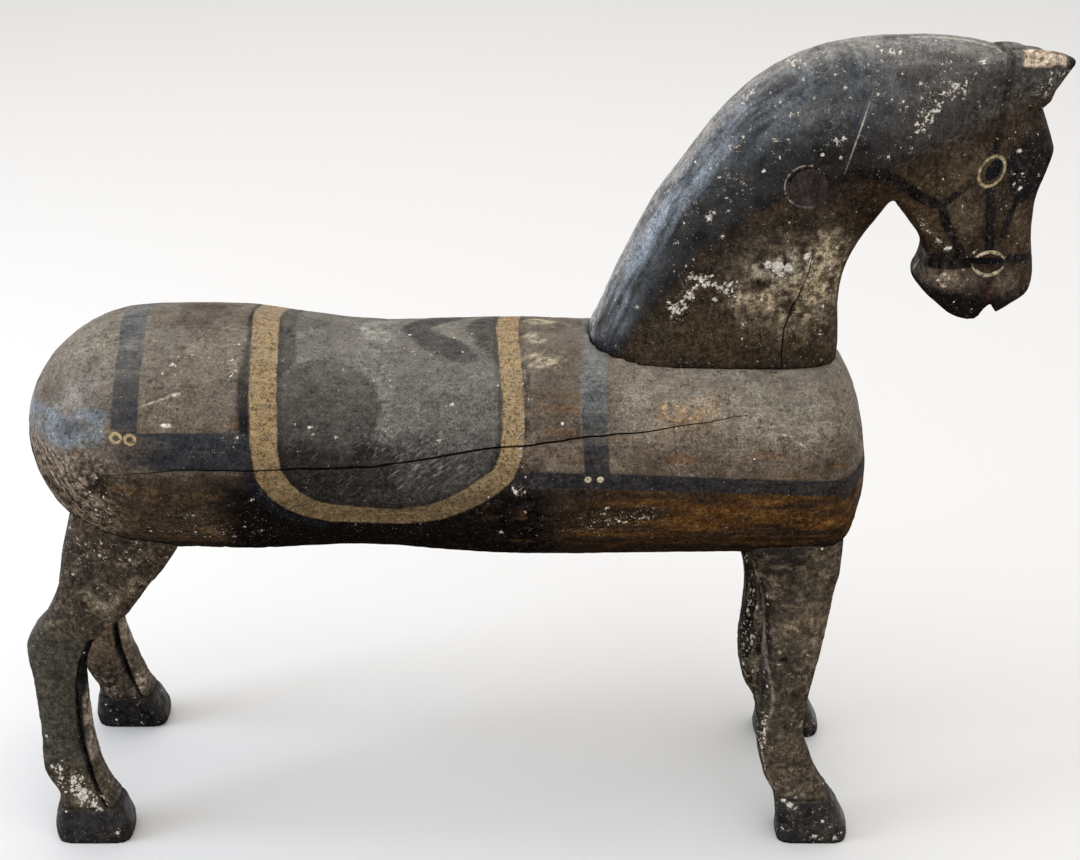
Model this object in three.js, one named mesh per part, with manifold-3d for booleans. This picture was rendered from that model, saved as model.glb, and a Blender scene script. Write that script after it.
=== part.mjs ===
// A carved and painted wooden horse that stands on its own four hooves.
// The trunk is one log. The neck and head are one carved block that sits in a flat seat sawn into the
// top of the log, with a round wooden plug let into its right side. The four legs are separate carved
// pieces whose tops are hollowed to fit the round underside of the log.
// Millimetres, +Z up. The horse faces +X and its left side is towards +Y. The soles stand on Z = 0,
// and the origin is under the middle of the whole figure.
import * as THREE from "three";
import { mergeVertices } from "three/addons/utils/BufferGeometryUtils.js";
import Module from "manifold-3d";

const wasm = await Module();
wasm.setup();

// The gap that neighbouring pieces keep where they meet.
const jointGap = 0.3;

// The log.
const trunkLength = 675;
const trunkRadius = 96;
const axisHeight = 345; // the log's axis above the ground
const rumpDomeLength = 105; // how far the rounded rump reaches along the log
const chestDomeLength = 40; // how far the flatter chest end reaches along the log
const chestLeanShare = 0.087; // how far the chest leans back, as a share of its height
const trunkSides = 36;

// The seat that is sawn into the log, and the neck and head that sit in it.
const seatDepth = 10; // below the top of the log at the seat's front end
const neckFrontInset = 29.5; // from the chest end of the log back to the front of the neck
const neckHeight = 250; // from the seat to the top of the crest
const neckSides = 24;
const neckRingsPerStation = 2;

// The ears.
const earSpacing = 34; // between the two tips
const leftEarShare = 0.78; // the left ear's length as a share of the right one's, as they are carved by eye
const leftEarDrop = 6; // how far the left ear lies below the right one
const earSides = 12;

// The round plug in the right side of the neck.
const plugDiameter = 29;
const plugDepth = 24;
const plugSides = 24;

// The legs.
const hoofSpreadShare = 0.844; // a sole's distance from the centre plane, as a share of the trunk radius
const legTopShare = 0.5; // the legs' middle line at their top, as a share of the trunk radius
const frontLegInset = 59.5; // from the chest end of the log back to the middle of the front shank
const rearLegInset = 17; // from the rump end of the log forward to the middle of the rear shank
const legThickness = 38; // across the hoof
const leftForelegSetBack = 5; // the left foreleg stands this far behind the right one
const leftForelegDrawnIn = 16; // its sole is this much nearer the centre plane
const leftForelegTrim = 3; // and its back edge is cut this much slimmer halfway up
const legSides = 20;
const grooveRadius = 3.2; // of the carved tendon grooves on the rear shanks
const grooveSides = 6;

const trunkRear = -trunkLength / 2;
const trunkFront = trunkLength / 2;

const woodColours = { trunk: 0x4f443a, neck: 0x2c2a2b, leg: 0x4a3f34, plug: 0x3d2d26 };

// The value of several quantities along a row of stations. A station is [place, value, value, ...].
function alongStations(stations) {
  const curve = new THREE.CubicInterpolant(
    stations.map((station) => station[0]),
    stations.flatMap((station) => station.slice(1)),
    stations[0].length - 1,
  );
  return (place) => [...curve.evaluate(place)];
}

// A closed geometry as a solid that can be cut and joined.
function solidOf(geometry) {
  const bare = new THREE.BufferGeometry().setAttribute("position", geometry.getAttribute("position"));
  bare.setIndex(geometry.getIndex());
  const merged = mergeVertices(bare, 1e-3);
  return new wasm.Manifold(
    new wasm.Mesh({
      numProp: 3,
      vertProperties: new Float32Array(merged.getAttribute("position").array),
      triVerts: new Uint32Array(merged.getIndex().array),
    }),
  );
}

function geometryOf(solid) {
  const mesh = solid.getMesh();
  const geometry = new THREE.BufferGeometry();
  geometry.setAttribute("position", new THREE.BufferAttribute(new Float32Array(mesh.vertProperties), 3));
  geometry.setIndex(new THREE.BufferAttribute(new Uint32Array(mesh.triVerts), 1));
  const facets = geometry.toNonIndexed();
  facets.computeVertexNormals();
  return facets;
}

// A carved limb: a closed cylinder whose rings are moved to where place(progress, along, across) says.
// Progress runs from 0 to 1 over the limb, and along and across go round its section on a unit circle.
function carvedLimb(sides, rings, place) {
  const geometry = new THREE.CylinderGeometry(1, 1, 1, sides, rings, false);
  const position = geometry.getAttribute("position");
  for (let i = 0; i < position.count; i++) {
    const progress = position.getY(i) + 0.5;
    const point = place(progress, position.getZ(i), position.getX(i));
    position.setXYZ(i, point.x, point.y, point.z);
  }
  return geometry;
}

// One coordinate of a unit circle, pushed out towards the corners of a square as roundness grows past 2.
function squared(value, roundness) {
  return Math.sign(value) * Math.abs(value) ** (2 / roundness);
}

// The log's girth and the height of its middle, as [share of length, share of radius, rise].
const girthAt = alongStations([
  [0.0, 1.03, 0.1],
  [0.15, 1.03, 0.1],
  [0.27, 1.04, 0.083],
  [0.33, 0.998, 0.06],
  [0.41, 0.957, 0.035],
  [0.5, 0.988, 0.01],
  [0.58, 1.01, 0.0],
  [0.75, 0.985, -0.025],
  [0.93, 0.957, -0.037],
  [1.0, 0.95, -0.037],
]);

function trunkRadiusAt(x) {
  const [radius] = girthAt(THREE.MathUtils.clamp((x - trunkRear) / trunkLength, 0, 1));
  return radius * trunkRadius;
}

function trunkAxisAt(x) {
  const [, rise] = girthAt(THREE.MathUtils.clamp((x - trunkRear) / trunkLength, 0, 1));
  return axisHeight + rise * trunkRadius;
}

// The log, turned about its axis with a domed end at each side and then bent to its real line.
// Grow makes it larger all round, for cutting the pieces that meet it.
function trunkSolid(grow = 0) {
  const domeSteps = 9;
  const middleSteps = 14;
  const rumpShoulder = trunkRear + rumpDomeLength;
  const chestShoulder = trunkFront - chestDomeLength;
  const profile = [];
  for (let i = 0; i <= domeSteps; i++) {
    const turn = (i / domeSteps) * (Math.PI / 2);
    const x = rumpShoulder - (rumpDomeLength + grow) * Math.cos(turn);
    profile.push(new THREE.Vector2((trunkRadiusAt(rumpShoulder) + grow) * Math.sin(turn), x));
  }
  for (let i = 1; i < middleSteps; i++) {
    const x = THREE.MathUtils.lerp(rumpShoulder, chestShoulder, i / middleSteps);
    profile.push(new THREE.Vector2(trunkRadiusAt(x) + grow, x));
  }
  for (let i = domeSteps; i >= 0; i--) {
    const turn = (i / domeSteps) * (Math.PI / 2);
    const x = chestShoulder + (chestDomeLength + grow) * Math.cos(turn);
    profile.push(new THREE.Vector2((trunkRadiusAt(chestShoulder) + grow) * Math.sin(turn), x));
  }
  profile[0].x = 0;
  profile[profile.length - 1].x = 0;
  const geometry = new THREE.LatheGeometry(profile, trunkSides);
  geometry.rotateZ(-Math.PI / 2);
  const position = geometry.getAttribute("position");
  for (let i = 0; i < position.count; i++) {
    const x = position.getX(i);
    const z = position.getZ(i);
    const lean = chestLeanShare * z * THREE.MathUtils.smoothstep(x, chestShoulder - trunkRadius, trunkFront);
    position.setXYZ(i, x - lean, position.getY(i), z + trunkAxisAt(x));
  }
  return solidOf(geometry);
}

// Where the neck sits. The seat's edges meet the log's round side at the neck's front end, so the
// neck is as wide there as the log is at the depth of the cut.
const neckFront = trunkFront - neckFrontInset;
const seatRadius = trunkRadiusAt(neckFront);
const seatHeight = trunkAxisAt(neckFront) + seatRadius - seatDepth;
const neckHalfWidth = Math.sqrt(seatRadius ** 2 - (seatRadius - seatDepth) ** 2);
const neckBaseRoundness = 3.2;

// The neck and head, in hundredths of the neck's height, from the neck's front end on the seat.
// A station is [index, crest x, crest z, throat x, throat z, half width in hundredths of the base
// half width, roundness of the crest side, roundness of the throat side].
const neckStations = [
  [-78.0, 0.0, 0.0, 0.0, 100, 3.2, 4.2],
  [-76.4, 8.8, 0.2, 6.4, 100, 3.1, 4.0],
  [-73.2, 19.2, -0.2, 13.6, 100, 2.9, 3.6],
  [-67.0, 33.4, -0.4, 22.4, 99, 2.7, 3.2],
  [-59.9, 47.9, 0.8, 29.6, 97, 2.6, 3.0],
  [-52.4, 59.9, 2.8, 35.6, 95, 2.5, 2.8],
  [-42.4, 74.4, 5.2, 40.8, 93, 2.4, 2.7],
  [-31.2, 86.3, 8.0, 45.2, 91, 2.3, 2.6],
  [-17.4, 94.8, 10.8, 48.9, 89, 2.3, 2.6],
  [-2.4, 99.2, 12.6, 50.9, 87, 2.3, 2.6],
  [12.4, 100.6, 13.6, 51.0, 85, 2.3, 2.6],
  [26.8, 100.0, 14.6, 49.2, 83, 2.4, 2.7],
  [38.8, 97.2, 15.8, 47.6, 82, 2.6, 2.8],
  [47.6, 91.5, 17.0, 46.0, 81, 2.9, 2.9],
  [53.2, 83.8, 18.4, 44.4, 80, 3.1, 3.0],
  [56.8, 76.0, 20.0, 42.4, 81, 3.2, 3.0],
  [59.2, 68.4, 21.8, 40.2, 82, 3.2, 3.0],
  [58.2, 60.0, 23.4, 37.6, 81, 3.2, 3.0],
  [56.4, 52.8, 24.4, 34.6, 78, 3.1, 3.0],
  [56.0, 46.4, 24.2, 32.0, 74, 3.0, 3.0],
  [56.4, 40.0, 23.5, 29.8, 70, 2.9, 2.9],
  [57.6, 34.0, 22.6, 27.4, 69, 2.8, 2.8],
  [58.8, 28.2, 23.0, 24.6, 70, 2.8, 2.8],
  [58.2, 23.8, 25.0, 21.4, 68, 2.7, 2.7],
  [55.8, 19.8, 29.0, 17.6, 62, 2.6, 2.6],
  [52.8, 17.0, 33.6, 14.2, 53, 2.5, 2.5],
  [49.8, 15.0, 38.8, 12.0, 42, 2.4, 2.4],
].map((station, index) => [index, ...station]);
const neckAt = alongStations(neckStations);

function neckPoint(xShare, zShare) {
  const x = neckFront + (xShare * neckHeight) / 100;
  const z = seatHeight + jointGap + (zShare * neckHeight) / 100;
  return new THREE.Vector3(x, 0, z);
}

function neckPlace(progress, along, across) {
  const [crestX, crestZ, throatX, throatZ, width, crestRoundness, throatRoundness] = neckAt(
    progress * (neckStations.length - 1),
  );
  const roundness = along > 0 ? crestRoundness : throatRoundness;
  const point = neckPoint(throatX, throatZ);
  point.lerp(neckPoint(crestX, crestZ), (1 + squared(along, roundness)) / 2);
  point.y = -squared(across, roundness) * (width / 100) * neckHalfWidth;
  return point;
}

// One ear, a short pointed wedge that lies forward over the forehead. A station is
// [top x, top z, underside x, underside z, half width], in the same hundredths as the neck.
function earSolid(side, lengthShare, drop) {
  const stations = [
    [23.2, 94.0, 35.2, 80.0, 5.6],
    [44.8, 97.2, 53.2, 80.0, 5.2],
    [51.6, 97.4, 56.8, 86.0, 4.4],
    [57.6, 96.9, 59.6, 90.6, 2.9],
    [61.6, 95.2, 61.8, 93.8, 0.9],
  ].map((station, index) => [index, ...station]);
  const earAt = alongStations(stations);
  const root = stations[1][1];
  const place = (progress, along, across) => {
    const [topX, topZ, underX, underZ, width] = earAt(progress * (stations.length - 1));
    const reach = (x) => (x > root ? root + (x - root) * lengthShare : x);
    const point = neckPoint(reach(underX), underZ);
    point.lerp(neckPoint(reach(topX), topZ), (1 + squared(along, 2.6)) / 2);
    point.z -= drop * Math.min(progress * 2, 1);
    point.y = (side * earSpacing) / 2 - squared(across, 2.4) * (width / 100) * neckHeight;
    return point;
  };
  return solidOf(carvedLimb(earSides, 2 * (stations.length - 1), place));
}

// A wedge right across the muzzle, for the open notch between the lips and the mouth line above it.
function mouthCutter() {
  const outline = [
    [40.6, 10.0],
    [42.4, 13.6],
    [43.6, 17.4],
    [44.7, 18.7],
    [45.5, 25.2],
    [46.1, 25.2],
    [45.9, 18.2],
    [49.4, 13.0],
    [49.4, 5.0],
    [40.6, 5.0],
  ].map(([x, z]) => neckPoint(x, z));
  const shape = new THREE.Shape(outline.map((point) => new THREE.Vector2(point.x, point.z)));
  const geometry = new THREE.ExtrudeGeometry(shape, { depth: 4 * neckHalfWidth, bevelEnabled: false });
  geometry.rotateX(Math.PI / 2);
  geometry.translate(0, 2 * neckHalfWidth, 0);
  return solidOf(geometry);
}

// The footprint of the neck, grown by the joint gap and run out through the chest end of the log.
function seatCutter() {
  const centre = neckPoint(neckStations[0][1] / 2, 0);
  const halfLength = neckFront - centre.x;
  const steps = neckSides / 2;
  const outline = [];
  for (let i = 0; i <= steps; i++) {
    const turn = Math.PI / 2 + (i / steps) * Math.PI;
    const x = centre.x + squared(Math.cos(turn), neckBaseRoundness) * (halfLength + jointGap);
    const y = squared(Math.sin(turn), neckBaseRoundness) * (neckHalfWidth + jointGap);
    outline.push(new THREE.Vector2(x, y));
  }
  const past = trunkFront + trunkRadius;
  outline.push(new THREE.Vector2(past, -neckHalfWidth - jointGap));
  outline.push(new THREE.Vector2(past, neckHalfWidth + jointGap));
  const geometry = new THREE.ExtrudeGeometry(new THREE.Shape(outline), {
    depth: 2 * trunkRadius,
    bevelEnabled: false,
  });
  geometry.translate(0, 0, seatHeight);
  return solidOf(geometry);
}

// The plug runs in from the right side of the neck, square to it.
function plugCutter(grow) {
  const radius = plugDiameter / 2 + grow;
  const length = 2 * neckHalfWidth;
  const geometry = new THREE.CylinderGeometry(radius, radius, length, plugSides);
  const middle = neckPoint(-14, 59);
  const [, , , , width] = neckAt(6);
  const face = -(width / 100) * neckHalfWidth;
  geometry.translate(middle.x, face + plugDepth + grow - length / 2, middle.z);
  return solidOf(geometry);
}

// How a leg spreads outwards on its way down: the distance of its middle line from the centre plane.
function legMiddleAt(height, top, drawnIn = 0) {
  const middleAtSole = hoofSpreadShare * trunkRadius - drawnIn;
  return THREE.MathUtils.lerp(middleAtSole, legTopShare * trunkRadius, height / top);
}

// Legs, in hundredths of the height of the log's axis. A station is [height, rear x, front x,
// thickness in hundredths of the hoof's, roundness], with x from the middle of the shank.
const frontLegStations = [
  [0.0, -22.4, -5.0, 96, 4.6],
  [1.2, -22.8, -4.5, 100, 4.6],
  [3.6, -22.7, -4.6, 102, 4.3],
  [8.7, -22.9, -7.1, 101, 3.9],
  [12.6, -23.6, -9.6, 97, 3.3],
  [14.4, -24.6, -10.8, 88, 2.9],
  [16.8, -26.0, -12.2, 84, 2.8],
  [20.3, -27.0, -14.1, 82, 2.8],
  [24.3, -28.0, -15.9, 82, 2.8],
  [28.1, -28.5, -16.9, 82, 2.9],
  [33.3, -28.6, -16.6, 80, 3.0],
  [40.6, -28.1, -15.8, 82, 3.2],
  [49.9, -27.7, -14.1, 88, 3.4],
  [55.7, -27.7, -13.2, 92, 3.4],
  [61.5, -28.3, -12.4, 96, 3.4],
  [67.2, -29.1, -11.6, 100, 3.4],
  [72.8, -30.7, -10.6, 104, 3.4],
  [78.6, -32.8, -10.3, 107, 3.4],
  [87.0, -34.5, -10.1, 108, 3.4],
].map(([height, rear, front, thickness, roundness]) => {
  const shankMiddle = -22.25;
  return [height, rear - shankMiddle, front - shankMiddle, thickness, roundness];
});

// The left foreleg is the same, but slimmer along its back.
const leftFrontLegStations = frontLegStations.map(([height, rear, ...others]) => {
  const top = frontLegStations[frontLegStations.length - 1][0];
  const trim = (leftForelegTrim / axisHeight) * 100;
  return [height, rear + trim * Math.sin((Math.PI * height) / top), ...others];
});

const rearLegStations = [
  [0.0, -5.2, 12.9, 96, 4.6],
  [1.2, -5.9, 13.5, 100, 4.6],
  [4.1, -6.0, 13.6, 102, 4.3],
  [8.4, -5.2, 12.0, 101, 3.9],
  [11.6, -4.2, 10.0, 97, 3.3],
  [13.3, -4.4, 9.2, 88, 2.9],
  [16.8, -6.2, 7.9, 85, 2.8],
  [19.7, -7.1, 6.8, 84, 2.8],
  [25.5, -7.1, 5.7, 80, 2.9],
  [31.0, -7.0, 5.2, 78, 3.1],
  [36.5, -7.1, 5.1, 78, 3.2],
  [44.6, -7.3, 5.2, 80, 3.3],
  [49.3, -7.7, 5.8, 84, 3.3],
  [54.2, -7.5, 8.2, 88, 3.3],
  [58.3, -5.7, 12.2, 90, 3.3],
  [62.0, -2.6, 17.3, 93, 3.3],
  [66.1, -0.3, 20.4, 96, 3.3],
  [70.1, 1.2, 23.4, 100, 3.3],
  [74.2, 2.2, 26.9, 104, 3.3],
  [78.8, 3.0, 30.1, 108, 3.3],
  [87.5, 5.5, 34.6, 110, 3.3],
  [95.6, 7.0, 37.0, 108, 3.3],
];

// One leg before its top is hollowed. Side is 1 for the left and -1 for the right.
function legSolid(stations, shankX, side, drawnIn = 0) {
  const rows = stations.map((station, index) => [index, ...station]);
  const legAt = alongStations(rows);
  const unit = axisHeight / 100;
  const top = stations[stations.length - 1][0] * unit;
  const place = (progress, along, across) => {
    const [height, rear, front, thickness, roundness] = legAt(progress * (rows.length - 1));
    const forward = (rear + front) / 2 + (squared(along, roundness) * (front - rear)) / 2;
    const outward = squared(across, roundness) * (thickness / 100) * (legThickness / 2);
    const middle = side * legMiddleAt(height * unit, top, drawnIn);
    return new THREE.Vector3(shankX + forward * unit, middle + outward, height * unit);
  };
  return solidOf(carvedLimb(legSides, rows.length - 1, place));
}

// A tendon groove down one face of a rear shank. Face is 1 for the outer side and -1 for the inner.
function grooveCutter(shankX, side, face) {
  const unit = axisHeight / 100;
  const top = rearLegStations[rearLegStations.length - 1][0] * unit;
  const line = [
    [52.5, 5.4, 88],
    [48.0, 3.2, 84],
    [42.0, 2.2, 80],
    [37.5, 1.9, 78],
    [32.5, 2.0, 78],
    [26.0, 2.4, 80],
    [21.2, 3.6, 84],
  ].map(([height, forward, thickness]) => {
    const reach = (face * thickness * legThickness) / 200;
    const y = side * (legMiddleAt(height * unit, top) + reach);
    return new THREE.Vector3(shankX + forward * unit, y, height * unit);
  });
  const section = new THREE.Shape();
  section.absarc(0, 0, grooveRadius, 0, 2 * Math.PI);
  const geometry = new THREE.ExtrudeGeometry(section, {
    curveSegments: grooveSides / 2,
    steps: line.length,
    extrudePath: new THREE.CatmullRomCurve3(line),
  });
  return solidOf(geometry);
}

const trunk = trunkSolid().subtract(seatCutter());
const trunkForFit = trunkSolid(jointGap);

const neckBlock = solidOf(
  carvedLimb(neckSides, neckRingsPerStation * (neckStations.length - 1), neckPlace),
)
  .add(earSolid(-1, 1, 0))
  .add(earSolid(1, leftEarShare, leftEarDrop))
  .subtract(mouthCutter());
const neckAndHead = neckBlock.subtract(plugCutter(jointGap));
const neckPlug = neckBlock.intersect(plugCutter(0));

function frontLeg(stations, side, setBack, drawnIn) {
  const shankX = trunkFront - frontLegInset - setBack;
  return legSolid(stations, shankX, side, drawnIn).subtract(trunkForFit);
}

function rearLeg(side) {
  const shankX = trunkRear + rearLegInset;
  return legSolid(rearLegStations, shankX, side)
    .subtract(grooveCutter(shankX, side, 1))
    .subtract(grooveCutter(shankX, side, -1))
    .subtract(trunkForFit);
}

const frontLegRight = frontLeg(frontLegStations, -1, 0, 0);
const frontLegLeft = frontLeg(leftFrontLegStations, 1, leftForelegSetBack, leftForelegDrawnIn);

const horse = new THREE.Group();
horse.name = "carved_wooden_horse";

function addPiece(name, solid, colour, roughness) {
  const material = new THREE.MeshStandardMaterial({ color: colour, roughness, metalness: 0 });
  const mesh = new THREE.Mesh(geometryOf(solid), material);
  mesh.name = name;
  horse.add(mesh);
}

addPiece("trunk", trunk, woodColours.trunk, 0.6);
addPiece("neck_and_head", neckAndHead, woodColours.neck, 0.5);
addPiece("neck_plug", neckPlug, woodColours.plug, 0.6);
addPiece("front_leg_right", frontLegRight, woodColours.leg, 0.65);
addPiece("front_leg_left", frontLegLeft, woodColours.leg, 0.65);
addPiece("rear_leg_right", rearLeg(-1), woodColours.leg, 0.65);
addPiece("rear_leg_left", rearLeg(1), woodColours.leg, 0.65);

// The origin goes under the middle of the figure's length.
const extent = new THREE.Box3().setFromObject(horse);
horse.position.x = -(extent.min.x + extent.max.x) / 2;

export default horse;
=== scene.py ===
import functools
import itertools
import math

import bmesh
import bpy
import numpy as np
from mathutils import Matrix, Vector
from mathutils.bvhtree import BVHTree


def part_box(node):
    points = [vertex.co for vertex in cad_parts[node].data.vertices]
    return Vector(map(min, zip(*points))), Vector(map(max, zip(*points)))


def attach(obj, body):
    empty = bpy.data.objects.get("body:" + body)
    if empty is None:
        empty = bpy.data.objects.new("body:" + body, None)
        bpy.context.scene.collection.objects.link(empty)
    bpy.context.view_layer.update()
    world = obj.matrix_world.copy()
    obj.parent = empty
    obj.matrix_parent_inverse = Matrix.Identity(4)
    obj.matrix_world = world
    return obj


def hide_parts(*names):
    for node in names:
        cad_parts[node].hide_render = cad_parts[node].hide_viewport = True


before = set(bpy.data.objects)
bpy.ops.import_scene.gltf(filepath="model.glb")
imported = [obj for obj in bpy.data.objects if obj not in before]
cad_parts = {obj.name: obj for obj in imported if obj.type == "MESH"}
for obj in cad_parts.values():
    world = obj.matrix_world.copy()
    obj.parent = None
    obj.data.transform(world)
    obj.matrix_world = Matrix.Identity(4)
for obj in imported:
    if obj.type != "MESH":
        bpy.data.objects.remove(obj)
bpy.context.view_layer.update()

# The studio.
# The horse stands on a wide pale sweep under large soft boxes, and the camera looks down on its right
# side from a little above, with a long lens.

scene = bpy.context.scene
scene.view_settings.view_transform = "Standard"
MM = 0.001


def linear(hex_colour):
    """An sRGB hex colour as the linear colour that Blender works in."""
    channels = [int(hex_colour[i : i + 2], 16) / 255 for i in (1, 3, 5)]
    return [c / 12.92 if c <= 0.04045 else ((c + 0.055) / 1.055) ** 2.4 for c in channels] + [1.0]


def add_node(tree, kind, inputs=(), **settings):
    """Adds one shader node. Its inputs are given by name or number, or in a row from the first one.

    An input is a value, a socket, or a node whose first output is used.
    """
    node = tree.nodes.new("ShaderNode" + kind)
    for name, value in settings.items():
        setattr(node, name, value)
    for key, value in inputs.items() if isinstance(inputs, dict) else enumerate(inputs):
        if isinstance(value, bpy.types.Node):
            value = next(output for output in value.outputs if output.enabled)
        if isinstance(value, bpy.types.NodeSocket):
            tree.links.new(value, node.inputs[key])
        else:
            node.inputs[key].default_value = value
    return node


def new_material(name):
    """An empty material, and the function that adds nodes to it."""
    material = bpy.data.materials.new(name)
    material.use_nodes = True
    material.node_tree.nodes.clear()
    return material, functools.partial(add_node, material.node_tree)


# A matt painted sweep: a pale grey-white, all but even, that gives the eye no pattern.
sweep, add = new_material("matt_white_sweep")
mottle = add("TexNoise", {"Scale": 1.5, "Detail": 2.0})
shade = add("Mix", {0: mottle, 6: linear("#dfdedc"), 7: linear("#dbdad8")}, data_type="RGBA")
surface = add("BsdfPrincipled", {"Base Color": shade, "Roughness": 0.9})
add("OutputMaterial", {"Surface": surface})

bm = bmesh.new()
bmesh.ops.create_grid(bm, x_segments=1, y_segments=1, size=14.0)
floor_mesh = bpy.data.meshes.new("studio_floor")
bm.to_mesh(floor_mesh)
bm.free()
floor_mesh.materials.append(sweep)
studio_floor = bpy.data.objects.new("studio_floor", floor_mesh)
scene.collection.objects.link(studio_floor)

trunk_low, trunk_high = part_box("trunk")

# The camera looks at a point ahead of the log's middle and halfway up the figure.
ahead, halfway_up = 74.6 * MM, 349 * MM
aim = Vector(((trunk_low.x + trunk_high.x) / 2 + ahead, 0.0, halfway_up))
elevation = math.radians(28)
distance = 1.44
camera = bpy.data.objects.new("camera", bpy.data.cameras.new("camera"))
camera.data.sensor_width = 36.0
camera.data.lens = 59.0
camera.location = aim + distance * Vector((0.0, -math.cos(elevation), math.sin(elevation)))
camera.rotation_euler = (aim - camera.location).to_track_quat("-Z", "Y").to_euler()
scene.collection.objects.link(camera)
scene.camera = camera


def soft_box(name, place, size, power, colour):
    """One large soft light, turned towards the middle of the horse."""
    data = bpy.data.lights.new(name, "AREA")
    data.shape = "RECTANGLE"
    data.size, data.size_y = size
    data.energy = power
    data.color = linear(colour)[:3]
    light = bpy.data.objects.new(name, data)
    light.location = place
    light.rotation_euler = (aim - Vector(place)).to_track_quat("-Z", "Y").to_euler()
    scene.collection.objects.link(light)


soft_box("overhead_box", place=(0.2, 0.4, 3.6), size=(4.5, 4.0), power=86.0, colour="#fffaf4")
soft_box("window_box", place=(-2.4, -0.4, 1.5), size=(1.1, 1.7), power=42.0, colour="#dfeaff")
soft_box("front_fill", place=(0.9, -2.6, 1.5), size=(1.6, 1.2), power=6.0, colour="#fff6ec")

world = bpy.data.worlds.new("studio_air")
world.use_nodes = True
air = world.node_tree.nodes["Background"]
air.inputs["Color"].default_value = linear("#f6f6f6")
air.inputs["Strength"].default_value = 0.8
scene.world = world

# The trunk.
# One log of light hardwood, shaped with a drawknife and a gouge: rounded at the rump, blunter at the
# chest, hollowed a little at the loins. It carries a painted saddle cloth with an ochre border, and
# blue-black straps, over a grey-brown coat that has worn, flaked and gathered dust. One long drying
# crack runs along each flank.


def carved_copy(node, voxel):
    """A node's solid again, as one dense even skin that can be worked over."""
    bm = bmesh.new()
    bm.from_mesh(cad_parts[node].data)
    bmesh.ops.remove_doubles(bm, verts=bm.verts, dist=1e-5)
    mesh = bpy.data.meshes.new(node + "_carved")
    bm.to_mesh(mesh)
    bm.free()
    piece = bpy.data.objects.new(node + "_carved", mesh)
    scene.collection.objects.link(piece)
    skin = piece.modifiers.new("even_skin", "REMESH")
    skin.mode = "VOXEL"
    skin.voxel_size = voxel * MM
    settle(piece)
    return piece


def settle(piece):
    """Applies a piece's modifiers to its mesh."""
    depsgraph = bpy.context.evaluated_depsgraph_get()
    finished = bpy.data.meshes.new_from_object(piece.evaluated_get(depsgraph))
    rough = piece.data
    piece.modifiers.clear()
    piece.data = finished
    finished.name = rough.name.split(".")[0]
    bpy.data.meshes.remove(rough)


def box_of(node):
    """The lowest and the highest corner of a node's solid, in millimetres."""
    return [np.array(corner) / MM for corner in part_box(node)]


def read_points(mesh, field="co"):
    """Where the mesh's points lie, in millimetres, or which way they face where the field is "normal"."""
    values = np.empty(len(mesh.vertices) * 3)
    mesh.vertices.foreach_get(field, values)
    values = values.reshape(-1, 3)
    return values / MM if field == "co" else values


def write_points(mesh, points, node):
    """Puts the moved points back, none of them outside the box of the node that the piece replaces."""
    points = np.clip(points, *box_of(node))
    mesh.vertices.foreach_set("co", (points * MM).ravel())
    mesh.update()


def rub_down(mesh, points, passes, strength):
    """Smooths the points between their neighbours, as a scraper does. Strength may differ by point."""
    edges = np.empty(len(mesh.edges) * 2, dtype=np.int64)
    mesh.edges.foreach_get("vertices", edges)
    a, b = edges.reshape(-1, 2).T
    count = np.bincount(a, minlength=len(points)) + np.bincount(b, minlength=len(points))
    strength = np.broadcast_to(strength, len(points))[:, None]
    for _ in range(passes):
        total = np.empty_like(points)
        for axis in range(3):
            values = points[:, axis]
            total[:, axis] = np.bincount(a, values[b], len(points)) + np.bincount(b, values[a], len(points))
        points = points + 0.5 * strength * (total / np.maximum(count, 1)[:, None] - points)
    return points


def unevenness(points, size, seed, octaves=1):
    """Smooth chance values from about -1 to 1 that change over the given size in millimetres.

    Each further octave adds values that change over half the size and are about half as strong. A
    corner of the lattice gets its chance value from the end digits of a large sine.
    """
    total = np.zeros(len(points))
    for octave in range(octaves):
        place = points / size * 2.03**octave + seed * 7.31
        corner = np.floor(place)
        share = place - corner
        share = share * share * (3 - 2 * share)
        for offset in itertools.product((0, 1), repeat=3):
            weight = np.prod(np.where(offset, share, 1 - share), axis=1)
            value = np.sin((corner + offset) @ (12.9898, 78.233, 37.719)) * 43758.5453
            total += 0.6**octave * weight * (2 * (value - np.floor(value)) - 1)
    return total


def ramp(values, start, end):
    """0 before start, 1 after end, and a smooth rise between them."""
    share = np.clip((values - start) / (end - start), 0, 1)
    return share * share * (3 - 2 * share)


def line_distance(points, line):
    """How far each flat point lies from a line of straight stretches."""
    line = np.array(line, float)
    nearest = np.full(len(points), np.inf)
    for start, end in zip(line, line[1:]):
        stretch = end - start
        share = np.clip((points - start) @ stretch / (stretch @ stretch), 0, 1)
        nearest = np.minimum(nearest, np.linalg.norm(points - start - share[:, None] * stretch, axis=1))
    return nearest


def inside_distance(points, outline):
    """How far each flat point lies inside a closed outline. Outside it the value is below 0."""
    closed = list(outline) + [outline[0]]
    inside = np.zeros(len(points), bool)
    for (x0, y0), (x1, y1) in zip(closed, closed[1:]):
        if y0 != y1:
            crosses = (points[:, 1] < y0) != (points[:, 1] < y1)
            inside ^= crosses & (points[:, 0] < x0 + (points[:, 1] - y0) * (x1 - x0) / (y1 - y0))
    return np.where(inside, 1, -1) * line_distance(points, closed)


def patch(points, centre, radii):
    """A soft round patch: 1 at its centre, fading out over its radii."""
    return np.exp(-(((points - np.array(centre)) / np.array(radii)) ** 2).sum(axis=1))


def patches(points, rows):
    """Soft round patches added up, each given by its centre, its radii and its strength."""
    return sum(strength * patch(points, centre, radii) for centre, radii, strength in rows)


def fade(distance, width):
    """1 where the distance is 0, fading out over the width."""
    return np.exp(-((distance / width) ** 2))


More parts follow.
